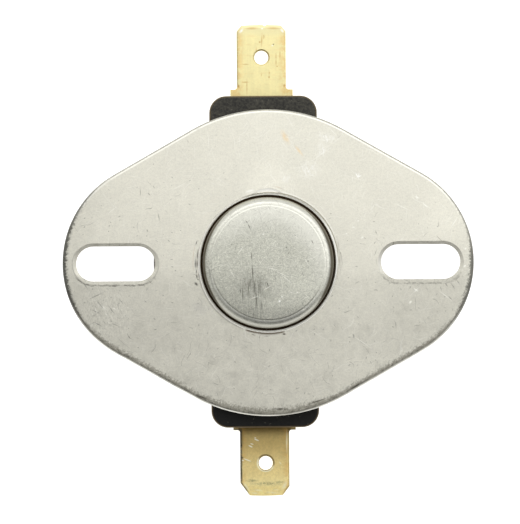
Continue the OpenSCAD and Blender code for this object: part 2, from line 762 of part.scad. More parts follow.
// Terminal that points along +Y, with its rivet hole and its latch hole moved sideways
module terminal(tip, shoulder, right_cut, left_cut, lead_l, rivet_dx, latch_dx) {
    translate([0, 0, body_rear_z + terminal_t / 2]) difference() {
        union() {
            linear_extrude(height = terminal_t, center = true) terminal_base(shoulder);
            blade(shoulder + shoulder_r - eps, tip, right_cut, left_cut, lead_l);
        }
        translate([latch_dx, tip - latch_hole_back, 0]) latch_hole();
        translate([rivet_dx, rivet_y, 0]) cylinder(r = rivet_hole_r, h = 2 * terminal_t, center = true);
    }
}

module terminal_upper() {
    cut = [upper_cut_x, upper_cut_y];
    color(brass) in_body() translate([upper_dx, 0, 0]) difference() {
        terminal(upper_tip, upper_shoulder, cut, cut, upper_lead_l, -upper_dx, 0);
        translate([nick_x, upper_tip + nick_d / 2 - nick_depth, body_rear_z - eps])
            cylinder(d = nick_d, h = terminal_t + 2 * eps);
    }
}

module terminal_lower() {
    right_cut = [lower_left_cut_x, lower_left_cut_y];
    left_cut = [lower_right_cut_x, lower_right_cut_y];
    color(brass) in_body() translate([lower_dx, 0, 0]) rotate([0, 0, 180])
        terminal(lower_tip, lower_shoulder, right_cut, left_cut, lower_lead_l, lower_dx, -lower_latch_dx);
}

// Tubular rivet: a flat head on top at head_z and a rolled end under the terminal
module rivet(head_z) {
    roll_r = rivet_roll_h / 2;
    roll_x = rivet_roll_d / 2 - roll_r;
    color(brass) rotate_extrude() difference() {
        union() {
            translate([0, head_z]) rounded_corner(rivet_head_d / 2, rivet_head_h, rivet_head_h / 2);
            translate([0, body_rear_z - roll_r]) square([rivet_d / 2, head_z - body_rear_z + roll_r + eps]);
            translate([rivet_bore_d / 2, body_rear_z - roll_r]) square([roll_x - rivet_bore_d / 2, roll_r]);
            translate([roll_x, body_rear_z - roll_r]) circle(r = roll_r);
        }
        translate([0, body_rear_z - rivet_roll_h]) square([rivet_bore_d / 2, rivet_bore_depth]);
    }
}

module rivet_upper() {
    in_body() translate([0, rivet_y, 0]) rivet(clamp_top_z);
}

module rivet_lower() {
    in_body() translate([0, -rivet_y, 0]) rivet(fixed_top_z);
}

mounting_flange();
clamp_shell();
sensor_cap();
bimetal_disc();
disc_seat();
insulating_film();
transfer_pin();
switch_body();
contact_arm();
moving_contact();
arm_clamp_plate();
fixed_contact_plate();
fixed_contact();
terminal_upper();
terminal_lower();
rivet_upper();
rivet_lower();
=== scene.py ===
"""Looks of the safety thermostat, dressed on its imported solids.

Places and lengths are in millimetres in the frame of the part, and angles are in degrees.
"""
import json
import math

import bmesh
import bpy
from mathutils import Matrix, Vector


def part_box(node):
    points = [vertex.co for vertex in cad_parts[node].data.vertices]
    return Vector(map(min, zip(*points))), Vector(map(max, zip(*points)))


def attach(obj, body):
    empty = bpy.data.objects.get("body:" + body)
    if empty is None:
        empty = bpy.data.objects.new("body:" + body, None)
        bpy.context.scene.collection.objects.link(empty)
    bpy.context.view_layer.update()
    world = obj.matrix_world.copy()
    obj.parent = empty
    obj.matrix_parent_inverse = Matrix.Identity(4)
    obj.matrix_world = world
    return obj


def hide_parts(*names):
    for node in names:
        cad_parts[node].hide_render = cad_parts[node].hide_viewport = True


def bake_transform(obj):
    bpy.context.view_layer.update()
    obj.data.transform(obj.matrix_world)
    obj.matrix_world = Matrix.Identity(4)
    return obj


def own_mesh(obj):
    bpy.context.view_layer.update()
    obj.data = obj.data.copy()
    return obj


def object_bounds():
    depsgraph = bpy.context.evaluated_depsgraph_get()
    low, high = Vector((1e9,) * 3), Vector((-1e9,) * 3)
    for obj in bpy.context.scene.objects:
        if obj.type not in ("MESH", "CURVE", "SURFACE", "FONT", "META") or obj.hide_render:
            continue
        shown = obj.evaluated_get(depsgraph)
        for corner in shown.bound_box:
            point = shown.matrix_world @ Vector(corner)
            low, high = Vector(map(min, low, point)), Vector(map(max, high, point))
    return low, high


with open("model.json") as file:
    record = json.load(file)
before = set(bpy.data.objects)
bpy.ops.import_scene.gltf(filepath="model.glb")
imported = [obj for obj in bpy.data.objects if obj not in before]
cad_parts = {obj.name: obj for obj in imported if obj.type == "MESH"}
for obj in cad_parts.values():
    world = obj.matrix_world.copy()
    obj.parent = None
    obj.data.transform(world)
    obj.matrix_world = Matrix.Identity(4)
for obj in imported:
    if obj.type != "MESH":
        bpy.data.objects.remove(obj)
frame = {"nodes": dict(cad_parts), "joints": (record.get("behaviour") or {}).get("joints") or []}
cad_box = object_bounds()

NODES = frame["nodes"]
MM = 0.001

# Camera: straight above the flange, with the photograph's small turn and offset
CAMERA_HEIGHT = 500.0
CAMERA_OFFSET = (-1.03, 0.10)
CAMERA_TURN = -0.44
FIELD_HEIGHT = 66.08
SENSOR = 36.0

# The part's own places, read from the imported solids
FLANGE_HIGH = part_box("mounting_flange")[1] / MM
BODY_LOW, BODY_HIGH = (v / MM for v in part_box("switch_body"))
FLOOR_Z = cad_box[0].z / MM

# Light: a soft box over the upper part of the picture and a room that is brightest at the back
PANEL_EDGE = (0.0, -16.0)
PANEL_TURN = -17.0
PANEL_SIZE = (320.0, 220.0)
PANEL_Z = 200.0
PANEL_LIGHT = 1.35
ROOM_FRONT = 0.25
ROOM_BACK = 1.0
ROOM_SIDE = 0.2
ROOM_TOP = 0.1
ROOM_LOW = 0.6

# The oval's outline: middle radius, end radius and the place of the end arcs
MID_R = FLANGE_HIGH.y
END_R = 12.9
END_X = FLANGE_HIGH.x - END_R

# The slots: distance of their middles from the cap's axis, half of their straight part and their radius
SLOT_X = 19.25
SLOT_REACH = 2.8
SLOT_R = 2.2

# The body's wings: half their width and the radius of their corners
WING_HALF = 6.85
WING_R = 2.15

# Middles of the latch holes, the radius of their front edge and of the rings round them
UPPER_HOLE = (-0.67, 26.34)
LOWER_HOLE = (-0.49, -25.71)
HOLE_R = 0.92
UPPER_RING_R = 0.99
LOWER_RING_R = 1.03

# Crease and painted highlight line round the cap's face
CREASE_R = 7.17
PALE_LINE_R = 7.42

# The spring arm's bend: how far it starts behind the hinge and ends before it, and the cuts between
BEND_START = 0.5
BEND_CUTS = 24
BEND_CUT_STEP = 0.25

# The floor: half its side, its grey and the light it gives off
FLOOR_HALF = 2000.0
FLOOR_GREY = (0.5, 0.5, 0.5, 1.0)
FLOOR_GLOW = 0.95
WHITE = (1.0, 1.0, 1.0, 1.0)


class Look:
    """A material under construction. Each call adds nodes and gives back an output to go on with."""

    def __init__(self, name):
        self.material = bpy.data.materials.new(name)
        self.material.use_nodes = True
        self.tree = self.material.node_tree
        self.tree.nodes.clear()
        where = self.add("ShaderNodeTexCoord").outputs["Object"]
        self.place = self.vector("SCALE", where, scale=1 / MM)
        self.x, self.y, self.z = self.add("ShaderNodeSeparateXYZ", Vector=self.place).outputs

    def add(self, kind, settings=None, **inputs):
        node = self.tree.nodes.new(kind)
        for key, value in (settings or {}).items():
            setattr(node, key, value)
        for key, value in inputs.items():
            self.feed(node.inputs[key], value)
        return node

    def feed(self, socket, value):
        if isinstance(value, bpy.types.NodeSocket):
            self.tree.links.new(value, socket)
        elif value is not None:
            socket.default_value = value

    def math(self, operation, a, b=None, c=None):
        node = self.add("ShaderNodeMath", {"operation": operation})
        for socket, value in zip(node.inputs, (a, b, c)):
            self.feed(socket, value)
        return node.outputs[0]

    def vector(self, operation, a, b=None, scale=None):
        node = self.add("ShaderNodeVectorMath", {"operation": operation})
        self.feed(node.inputs[0], a)
        self.feed(node.inputs[1], b)
        if scale is not None:
            self.feed(node.inputs["Scale"], scale)
        return node.outputs["Value" if operation in ("LENGTH", "DOT_PRODUCT") else "Vector"]

    def plus(self, total, *others):
        for other in others:
            total = self.math("ADD", total, other)
        return total

    def minus(self, a, b):
        return self.math("SUBTRACT", a, b)

    def times(self, total, *others):
        for other in others:
            total = self.math("MULTIPLY", total, other)
        return total

    def absolute(self, a):
        return self.math("ABSOLUTE", a)

    def maximum(self, a, b):
        return self.math("MAXIMUM", a, b)

    def hypot(self, a, b):
        return self.math("SQRT", self.plus(self.times(a, a), self.times(b, b)))

    def step(self, value, low, high, to=(0.0, 1.0)):
        """Goes smoothly from to[0] at low to to[1] at high, in either direction."""
        node = self.add("ShaderNodeMapRange", {"interpolation_type": "SMOOTHSTEP"})
        names = ("Value", "From Min", "From Max", "To Min", "To Max")
        for name, given in zip(names, (value, low, high, *to)):
            self.feed(node.inputs[name], given)
        return node.outputs[0]

    def band(self, value, middle, far, near):
        """1 where the value is within near of the middle, 0 from far on."""
        return self.step(self.absolute(self.minus(value, middle)), far, near)

    def mix(self, factor, a, b, mode="MIX"):
        node = self.add("ShaderNodeMix", {"data_type": "RGBA", "blend_type": mode})
        self.feed(node.inputs[0], factor)
        self.feed(node.inputs[6], a)
        self.feed(node.inputs[7], b)
        return node.outputs[2]

    def shade(self, colour, factor):
        """The colour times a grey factor."""
        grey = self.add("ShaderNodeCombineXYZ", X=factor, Y=factor, Z=factor).outputs[0]
        return self.mix(1.0, colour, grey, "MULTIPLY")

    def lay(self, colour, tint, strength, mask):
        """Lays a tint over a colour where the mask is."""
        return self.mix(self.times(mask, strength), colour, tint)

    def stretch(self, sx, sy, turn=0.0):
        """The place, scaled along X and Y after a turn, for noise in streaks."""
        node = self.add("ShaderNodeMapping", Vector=self.place)
        node.inputs["Scale"].default_value = (sx, sy, 1.0)
        node.inputs["Rotation"].default_value = (0, 0, math.radians(turn))
        return node.outputs[0]

    def noise(self, scale, detail=2.0, roughness=0.5, at=None, distortion=0.0):
        """Noise from 0 to 1, with about scale features a millimetre."""
        node = self.add("ShaderNodeTexNoise", Vector=at or self.place, Scale=scale, Detail=detail)
        node.inputs["Roughness"].default_value = roughness
        node.inputs["Distortion"].default_value = distortion
        return node.outputs[0]

    def radius(self, cx=0.0, cy=0.0):
        """Distance from an upright axis."""
        dx, dy = self.minus(self.x, cx), self.minus(self.y, cy)
        return self.hypot(dx, dy)

    def spot(self, cx, cy, rx, ry=None, soft=1.0, turn=0.0):
        """A soft ellipse: 1 in the middle, 0 outside."""
        angle = math.radians(turn)
        dx, dy = self.minus(self.x, cx), self.minus(self.y, cy)
        u = self.plus(self.times(dx, math.cos(angle) / rx), self.times(dy, math.sin(angle) / rx))
        ry = ry or rx
        v = self.minus(self.times(dy, math.cos(angle) / ry), self.times(dx, math.sin(angle) / ry))
        return self.step(self.hypot(u, v), 1.0, 1.0 - soft)

    def line(self, ax, ay, bx, by, width):
        """A thin scratch between two places: 1 on its middle line."""
        along = Vector((bx - ax, by - ay, 0.0))
        turn = math.degrees(math.atan2(along.y, along.x))
        return self.spot((ax + bx) / 2, (ay + by) / 2, along.length / 2, width, turn=turn)

    def cover(self, lines=(), spots=()):
        """One mask for lines (both ends and a width) and spots (middle, radii, softness and turn)."""
        masks = [self.line(*line) for line in lines] + [self.spot(*spot) for spot in spots]
        whole = masks[0]
        for mask in masks[1:]:
            whole = self.maximum(whole, mask)
        return whole

    def marks(self, colour, tint, strength, lines=(), spots=(), broken=None):
        """Lays thin lines and spots of one tint over a colour."""
        mask = self.cover(lines, spots)
        if broken is not None:
            mask = self.times(mask, broken)
        return self.lay(colour, tint, strength, mask)

    def towards(self, angle):
        """Cosine of the angle between a point's direction from the cap's axis and a given one."""
        a = math.radians(angle)
        dot = self.plus(self.times(self.x, math.cos(a)), self.times(self.y, math.sin(a)))
        return self.math("DIVIDE", dot, self.maximum(self.radius(), 0.01))

    def arc(self, r, width, angle, half, soft=4.0):
        """A mark along a circle round the cap's axis, half degrees to each side of an angle."""
        near = math.cos(math.radians(max(half - soft, 0.0)))
        far = math.cos(math.radians(half))
        on_circle = self.band(self.radius(), r, width / 2, 0.0)
        return self.times(on_circle, self.step(self.towards(angle), far, near))

    def scratches(self, cells, length, width, share, spread=180.0, turn=0.0, bend=0.0):
        """Separate scratches, one in a share of the cells. Cells is their number a millimetre."""
        flat = self.vector("MULTIPLY", self.place, (1.0, 1.0, 0.0))
        if bend:
            wander = self.add("ShaderNodeTexNoise", Vector=flat, Scale=0.35, Detail=1.0).outputs["Color"]
            flat = self.vector("ADD", flat, self.vector("SCALE", wander, scale=bend))
        cell = self.add("ShaderNodeTexVoronoi", Vector=flat, Scale=cells)
        cell.voronoi_dimensions = "2D"
        local = self.vector("SUBTRACT", flat, cell.outputs["Position"])
        chance, angle, size = self.add("ShaderNodeSeparateColor", Color=cell.outputs["Color"]).outputs
        turned = self.add("ShaderNodeVectorRotate", {"rotation_type": "Z_AXIS"}, Vector=local)
        self.feed(turned.inputs["Angle"], self.math(
            "MULTIPLY_ADD", angle, math.radians(spread), math.radians(turn - spread / 2)))
        u, v, _ = self.add("ShaderNodeSeparateXYZ", Vector=turned.outputs[0]).outputs
        reach = self.math("MULTIPLY_ADD", size, length / 2, length / 4)
        along = self.math("DIVIDE", self.absolute(u), reach)
        across = self.math("DIVIDE", self.absolute(v), width / 2)
        mask = self.times(self.step(along, 1.0, 0.3), self.step(across, 1.0, 0.0))
        return self.times(mask, self.math("LESS_THAN", chance, share))

    def specks(self, cells, size, share):
        """Separate round specks, one in some of the cells."""
        return self.scratches(cells, 2 * size, size, share)

    def bump(self, height, microns):
        node = self.add("ShaderNodeBump", Height=height, Strength=1.0)
        node.inputs["Distance"].default_value = microns * 1e-6
        return node.outputs[0]

    def surface(self, **inputs):
        """Ends the material: each input goes to the shader by its name, with _ for a space."""
        node = self.add("ShaderNodeBsdfPrincipled")
        for key, value in inputs.items():
            self.feed(node.inputs[key.replace("_", " ")], value)
        out = self.add("ShaderNodeOutputMaterial")
        self.tree.links.new(node.outputs[0], out.inputs["Surface"])
        return self.material


def oval_depth(look):
    """How far a point of the flange lies inside its outline."""
    slope = (MID_R - END_R) / END_X
    rise = math.sqrt(1 - slope * slope)
    ax, ay = look.absolute(look.x), look.absolute(look.y)
    to_line = look.plus(look.times(ax, slope), look.times(ay, rise))
    to_middle = look.radius()
    bx = look.minus(ax, END_X)
    to_end = look.hypot(bx, ay)
    over = look.math("GREATER_THAN", look.minus(look.times(ay, slope), look.times(ax, rise)), 0.0)
    past = look.math("GREATER_THAN", look.minus(look.times(bx, rise), look.times(ay, slope)), 0.0)
    reach = look.plus(to_line, look.times(over, look.minus(to_middle, to_line)))
    beyond = look.plus(look.minus(to_end, to_line), MID_R - END_R)
    return look.minus(MID_R, look.plus(reach, look.times(past, beyond)))


# Colours that are laid on in several places
BRIGHT = (0.93, 0.92, 0.85, 1.0)
# Dark grey, laid on for grime and also as painted shade
GRIME_AND_SHADE = (0.10, 0.095, 0.080, 1.0)
RUST = (0.42, 0.26, 0.13, 1.0)
CREVICE_SHADE = (0.034, 0.021, 0.011, 1.0)
SMEAR = (1.0, 1.0, 0.98, 1.0)
ORANGE = (0.74, 0.44, 0.12, 1.0)
CREAM = (1.0, 0.95, 0.70, 1.0)
BROWN = (0.52, 0.28, 0.06, 1.0)
BLACK = (0.04, 0.04, 0.03, 1.0)


def flange_metal():
    look = Look("flange_aluminium")
    cloud = look.noise(0.10, 3.0, 0.6)
    mottle = look.noise(1.1, 4.0, 0.65)
    grain = look.noise(3.4, 4.0, 0.7)
    tone = look.plus(look.step(cloud, 0.3, 0.7, (0.97, 1.03)), look.step(mottle, 0.3, 0.7, (-0.04, 0.04)))
    tone = look.plus(tone, look.step(grain, 0.25, 0.75, (-0.06, 0.06)))
    tone = look.plus(tone, look.step(look.noise(6.5, 2.0, 0.7), 0.3, 0.7, (-0.05, 0.05)))
    colour = look.shade((0.712, 0.695, 0.605, 1.0), tone)

    # Fine wear all over: pale hairs, darker hairs and specks
    fine = look.scratches(0.9, 1.6, 0.10, 0.55, bend=1.2)
    pale = look.scratches(0.30, 5.0, 0.12, 0.5, bend=2.5)
    dark = look.scratches(0.8, 1.0, 0.09, 0.22, bend=3.2)
    dirt = look.specks(0.9, 0.15, 0.24)
    clusters = look.step(look.noise(0.30, 3.0, 0.6), 0.38, 0.58, (0.25, 1.0))
    clean = look.times(look.step(look.y, 5.0, 9.0), look.step(look.x, -8.0, -3.0))
    clusters = look.times(clusters, look.minus(1.0, look.times(clean, 0.7)))
    colour = look.lay(colour, BRIGHT, 0.35, fine)
    colour = look.lay(colour, BRIGHT, 0.35, pale)
    colour = look.lay(colour, GRIME_AND_SHADE, 0.58, look.times(dark, clusters))
    colour = look.lay(colour, GRIME_AND_SHADE, 0.62, look.times(dirt, clusters))
    hairs = look.times(look.scratches(0.75, 1.9, 0.08, 0.5, bend=3.0), look.step(look.y, -6.5, -10.5))
    colour = look.lay(colour, GRIME_AND_SHADE, 0.36, hairs)
    # Painted shade: darker across the lower middle, at the lower right and at the far left
    painted_shade_band = look.times(look.step(look.y, -0.5, -3.0), look.step(look.y, -14.0, -9.0))
    low_right = look.times(look.step(look.x, 10.0, 17.0), look.step(look.y, 2.5, -2.0))
    far_left = look.step(look.x, -20.0, -24.5)
    sides = look.plus(look.times(low_right, 0.055), look.times(far_left, 0.08))
    shaded = look.plus(look.times(painted_shade_band, 0.085), sides)
    # Painted light: lighter above the middle hole and at a spot on the right
    painted_light_spots = look.times(look.step(look.radius(0.0, 9.6), 4.6, 1.0), 0.10)
    painted_light_spots = look.plus(painted_light_spots, look.times(look.spot(22.5, 5.5, 5.5, 4.5), 0.09))
    colour = look.shade(colour, look.plus(look.minus(1.0, shaded), painted_light_spots))

    # A rubbed patch under the left slot, with short strokes one way
    rubbed = look.spot(-20.6, -6.2, 5.2, 4.4, 0.7)
    strokes = look.noise(1.0, 4.0, 0.85, at=look.stretch(5.5, 2.0, turn=35))
    colour = look.lay(colour, GRIME_AND_SHADE, 0.50, look.times(rubbed, look.step(strokes, 0.52, 0.70)))
    colour = look.lay(colour, BRIGHT, 0.50, look.times(rubbed, look.step(strokes, 0.48, 0.34)))
    colour = look.marks(colour, GRIME_AND_SHADE, 0.60, broken=look.step(strokes, 0.30, 0.45), lines=[
        (-23.0, -4.6, -20.4, -3.4, 0.09), (-22.6, -5.6, -21.0, -6.4, 0.09), (-21.9, -4.4, -20.6, -5.8, 0.08),
        (-20.4, -5.0, -19.2, -6.6, 0.09), (-22.2, -7.2, -20.8, -8.0, 0.10), (-19.0, -4.2, -18.2, -5.2, 0.08),
        (-23.6, -2.0, -22.6, -3.4, 0.09), (-20.0, -7.4, -18.8, -7.9, 0.09)])
    colour = look.marks(colour, BRIGHT, 0.75, broken=look.step(strokes, 0.62, 0.48), lines=[
        (-21.4, -4.9, -20.2, -6.0, 0.10), (-20.9, -5.9, -19.9, -7.0, 0.09), (-22.0, -5.2, -21.5, -6.6, 0.09),
        (-19.9, -5.4, -19.0, -5.9, 0.09), (-18.6, -5.8, -17.9, -6.6, 0.08)])

    # Grey smudges, more towards the bottom: partly dirt, partly painted shade on the lower half
    smudge_and_shade = look.times(look.step(look.noise(0.45, 4.0, 0.65), 0.48, 0.75), look.step(look.y, 4.0, -12.0))
    colour = look.lay(colour, GRIME_AND_SHADE, 0.16, smudge_and_shade)
    colour = look.lay(colour, (0.35, 0.35, 0.42, 1.0), 0.10, look.spot(-8.8, -5.6, 1.6, 1.1, turn=-30))

    # Dirt along the outline: wide and grey at the bottom, dark at the left, thin at the right and the top
    depth = oval_depth(look)
    ragged = look.noise(1.5, 4.0, 0.8)
    left = look.times(look.step(look.x, -20.0, -24.5), look.step(look.y, 8.0, 2.0, (0.6, 1.0)))
    right = look.times(look.step(look.x, 20.5, 24.5), look.step(look.y, 5.0, 0.0, (0.25, 1.0)))
    lower = look.step(look.y, -4.0, -9.5)
    bottom = look.step(look.y, -16.0, -18.5)
    reach = look.plus(0.15, look.plus(look.times(left, 0.44), look.times(right, 0.46)))
    reach = look.maximum(reach, look.plus(look.times(lower, 0.84), look.times(bottom, 0.32)))
    fringe = look.times(reach, look.step(look.noise(2.7, 4.0, 0.8), 0.28, 0.72, (0.50, 1.55)))
    rim = look.step(depth, look.plus(fringe, 0.08), look.times(fringe, 0.50))
    strength = look.plus(0.45, look.plus(look.times(left, 0.40), look.times(right, 0.30)))
    strength = look.maximum(strength, look.times(lower, look.step(ragged, 0.3, 0.7, (0.50, 0.74))))
    tint = look.mix(lower, (0.055, 0.055, 0.048, 1.0), (0.135, 0.125, 0.093, 1.0))
    colour = look.lay(colour, tint, look.math("MINIMUM", strength, 0.9), rim)
    patchy = look.step(look.noise(1.1, 4.0, 0.8), 0.50, 0.60)
    blots = look.times(look.step(depth, 0.85, 0.25), patchy, look.maximum(left, lower))
    colour = look.lay(colour, (0.08, 0.078, 0.062, 1.0), 0.50, blots)
    specked = look.times(look.step(depth, 1.6, 0.3), look.step(look.noise(3.6, 2.0, 0.6), 0.58, 0.68))
    colour = look.lay(colour, GRIME_AND_SHADE, 0.50, look.times(specked, lower))
    colour = look.marks(colour, (0.05, 0.048, 0.038, 1.0), 0.75, broken=look.step(ragged, 0.3, 0.5), spots=[
        (-17.8, -11.6, 0.62, 0.28, 1.0, -28)])
    colour = look.marks(
        colour, (0.045, 0.038, 0.028, 1.0), 0.80, broken=look.step(ragged, 0.32, 0.48), lines=[
            (0.0, -18.42, 2.9, -18.50, 0.22), (9.5, -16.45, 12.6, -14.75, 0.26),
            (4.4, -18.05, 7.6, -17.0, 0.14), (-9.6, -16.45, -7.4, -17.3, 0.16)],
        spots=[(6.0, -17.55, 0.22, 0.16)])
    # Painted highlight along the rounded bottom edge, broken up by noise
    wide = look.step(look.x, -2.0, 12.0, (0.24, 0.32))
    broken_edge_highlight = look.step(look.noise(0.35, 2.0), 0.30, 0.60, (0.45, 1.0))
    edge = look.times(look.step(depth, wide, 0.10), broken_edge_highlight)
    colour = look.lay(colour, BRIGHT, 0.80, look.times(edge, lower))
    # Painted highlight, thin, along the rounded upper edge
    upper = look.step(look.y, 5.0, 9.0)
    line = look.times(look.band(depth, 0.30, 0.14, 0.04), upper)
    colour = look.lay(colour, BRIGHT, 0.45, line)

    # The stains and scuffs that have a place of their own
    faded = look.step(look.noise(2.2, 3.0, 0.7), 0.34, 0.52, (0.3, 1.0))
    colour = look.marks(colour, (0.80, 0.57, 0.28, 1.0), 0.55, broken=faded, lines=[
        (1.65, 17.0, 2.9, 14.6, 0.50), (3.3, 15.0, 4.7, 13.2, 0.26)])
    smears = look.step(look.noise(1.0, 5.0, 0.85, at=look.stretch(3.6, 1.3, turn=-40)), 0.44, 0.68)
    colour = look.marks(colour, SMEAR, 0.85, broken=smears, spots=[
        (7.5, 15.7, 1.7, 0.9, 1.0, -15), (6.9, 14.2, 1.3, 1.3), (5.2, 11.6, 2.0, 1.5),
        (2.2, 10.8, 0.9, 1.0)])
    colour = look.marks(colour, SMEAR, 0.80, lines=[
        (11.0, 11.4, 11.6, 10.4, 0.10), (11.1, 10.6, 12.0, 11.0, 0.10), (11.6, 11.4, 11.4, 10.5, 0.08)])
    chips = ((17.3, -1.1, 0.35), (24.9, 1.6, 0.25), (24.8, -0.6, 0.28), (17.9, -5.1, 0.35), (11.9, 3.1, 0.3))
    colour = look.marks(colour, BRIGHT, 0.8, spots=[
        (x, y, size, size * 0.6, 1.0, 40) for x, y, size in chips])
    colour = look.marks(colour, BRIGHT, 0.6, lines=[
        (7.6, 17.2, 9.0, 15.7, 0.09), (15.6, 7.6, 18.4, 6.2, 0.08), (-12.6, 9.0, -9.8, 10.4, 0.08),
        (21.4, -3.6, 23.2, -5.0, 0.09), (10.2, -9.0, 13.4, -11.2, 0.08), (-20.6, 6.0, -18.8, 7.4, 0.08)])
    colour = look.marks(colour, GRIME_AND_SHADE, 0.60, lines=[
        (-16.1, 9.8, -16.0, 8.3, 0.08), (-15.2, 9.0, -14.7, 8.5, 0.09), (-13.9, 6.6, -13.6, 5.2, 0.09),
        (-15.3, 4.4, -15.1, 3.9, 0.12), (-12.7, 3.0, -12.3, 2.7, 0.10), (-14.5, 9.9, -14.2, 9.4, 0.08),
        (13.5, 4.0, 13.8, 3.4, 0.10), (22.2, -2.6, 22.7, -3.3, 0.09), (23.0, -2.7, 23.6, -3.6, 0.09),
        (23.7, -2.3, 24.2, -3.0, 0.09), (22.6, -4.3, 23.3, -5.0, 0.09), (21.6, -3.0, 21.9, -3.8, 0.08)],
        spots=[(-20.0, 4.8, 0.14), (-20.1, 4.1, 0.12), (-16.9, 4.6, 0.13), (-11.7, -0.9, 0.14),
               (-15.3, 3.5, 0.10)])
    colour = look.marks(colour, BRIGHT, 0.85, lines=[
        (18.4, 8.3, 19.3, 7.9, 0.12), (18.7, 8.6, 18.9, 7.6, 0.10), (19.6, 7.4, 20.2, 6.7, 0.10),
        (22.9, 4.0, 24.1, 5.8, 0.09), (18.2, -3.3, 19.0, -3.8, 0.14), (18.9, -3.3, 18.4, -3.9, 0.12)],
        spots=[(10.8, 4.4, 0.28, 0.14), (9.9, 3.6, 0.16), (11.4, 5.2, 0.14)])

    # Stake marks: hardly visible at the top under painted light, broken dark strokes at the left, brown dirt
    # at the bottom
    crumbled = look.noise(1.5, 3.0, 0.7)
    # Painted light over the shaded edge of the top stake mark
    colour = look.lay(colour, BRIGHT, 0.8, look.arc(9.35, 0.45, 104, 4))
    colour = look.marks(colour, RUST, 0.35, lines=[(0.6, 9.72, 2.1, 9.30, 0.10)])
    colour = look.marks(colour, GRIME_AND_SHADE, 0.30, lines=[(1.2, 9.50, 2.4, 9.10, 0.08)])
    south = look.times(look.arc(8.90, 0.46, 267, 17, 3.0), look.step(crumbled, 0.22, 0.45))
    colour = look.lay(colour, (0.085, 0.058, 0.032, 1.0), 0.95, south)
    colour = look.marks(colour, (0.03, 0.026, 0.02, 1.0), 0.95, lines=[(-9.36, -2.30, -8.84, -2.92, 0.24)],
                        spots=[(1.95, -9.02, 0.30, 0.16)])
    ring = look.times(look.step(look.radius(), 8.95, 9.05), look.step(look.radius(), 10.6, 10.4))
    sunk = look.times(look.step(look.z, -0.001, -0.006), ring)
    # Painted shade in the recesses at the bottom and painted light in those at the top
    colour = look.lay(colour, GRIME_AND_SHADE, 0.12, look.times(sunk, look.step(look.y, -7.0, -8.0)))
    colour = look.lay(colour, BRIGHT, 0.90, look.times(sunk, look.step(look.y, 7.0, 8.0)))
    colour = look.marks(colour, (0.13, 0.095, 0.06, 1.0), 0.7, lines=[
        (1.75, -8.92, 2.1, -9.05, 0.14), (-1.1, -9.0, -1.2, -9.7, 0.05), (-2.3, -8.95, -1.6, -9.2, 0.10),
        (-0.6, -9.2, 0.1, -9.35, 0.06)])
    colour = look.marks(colour, (0.05, 0.045, 0.036, 1.0), 0.85, lines=[
        (-8.84, 1.9, -8.93, 0.1, 0.13), (-8.92, 0.7, -8.99, -0.85, 0.17), (-9.14, 0.8, -9.22, -1.0, 0.13),
        (-9.02, -0.6, -9.10, -1.5, 0.11), (-9.16, 2.2, -8.90, 2.95, 0.12),
        (-8.76, -1.05, -8.70, -2.05, 0.12), (-9.02, -1.2, -8.98, -2.1, 0.15),
        (-9.02, -1.98, -8.72, -2.12, 0.12)])
    colour = look.lay(colour, RUST, 0.30, look.arc(9.48, 0.16, 176, 11))
    for stroke, strength in (((8.83, 3.0, 8.86, 1.5, 0.14), 0.35), ((9.0, 1.1, 9.02, -0.75, 0.09), 0.50),
                             ((8.80, -1.3, 8.70, -2.3, 0.07), 0.45)):
        colour = look.marks(colour, (0.20, 0.15, 0.12, 1.0), strength, lines=[stroke])
    patch = look.times(look.arc(8.74, 0.40, 72, 44, 14.0), look.step(grain, 0.30, 0.60, (0.5, 1.0)))
    colour = look.lay(colour, GRIME_AND_SHADE, 0.80, patch)
    # Painted highlight on the outer rounding of the hole's lip at the upper right
    colour = look.lay(colour, BRIGHT, 0.45, look.arc(9.06, 0.30, 64, 46, 10.0))
    soiled = look.times(look.arc(8.88, 0.40, 218, 34, 10.0), look.step(grain, 0.30, 0.60, (0.6, 1.0)))
    colour = look.lay(colour, GRIME_AND_SHADE, 0.42, soiled)

    # Lips of the slots, darker just below them, with painted highlight and painted shade on the lips
    along = look.absolute(look.minus(look.absolute(look.x), SLOT_X))
    along = look.maximum(look.minus(along, SLOT_REACH), 0.0)
    off = look.minus(look.hypot(along, look.y), SLOT_R)
    lip = look.step(off, 0.44, 0.38)
    upper_lip = look.times(lip, look.step(look.y, 1.0, 2.0))
    lower_lip = look.times(lip, look.step(look.y, -1.0, -2.0))
    colour = look.lay(colour, GRIME_AND_SHADE, 0.22, lower_lip)
    # Painted highlight on the inner end of the right slot's lip
    inner_end_highlight = look.times(lip, look.spot(14.2, 0.0, 1.2, 2.4))
    colour = look.lay(colour, BRIGHT, 0.6, inner_end_highlight)
    hair = look.times(look.band(off, 0.46, 0.10, 0.02), look.step(look.x, 5.0, -5.0))
    colour = look.lay(colour, GRIME_AND_SHADE, look.step(look.absolute(look.y), 2.2, 1.2, (0.0, 0.30)), hair)
    # Painted shade in streaks on the upper lips, which face away from the light
    streaky = look.noise(1.0, 3.0, 0.7, at=look.stretch(0.8, 3.0))
    colour = look.lay(colour, (0.24, 0.20, 0.15, 1.0), look.step(streaky, 0.4, 0.7, (0.0, 0.35)), upper_lip)
    under = look.band(off, look.step(ragged, 0.3, 0.7, (0.44, 0.62)), 0.17, 0.03)
    under = look.times(under, look.step(look.y, -1.2, -2.2), look.step(look.x, 16.0, -16.0, (0.7, 1.0)))
    colour = look.lay(colour, GRIME_AND_SHADE, look.step(mottle, 0.38, 0.58, (0.05, 0.70)), under)
    fuzz = look.times(look.step(off, 1.5, 0.5), look.step(look.noise(2.4, 4.0, 0.8), 0.56, 0.64))
    colour = look.lay(colour, GRIME_AND_SHADE, 0.40, look.times(fuzz, look.step(look.y, -0.5, -2.0)))

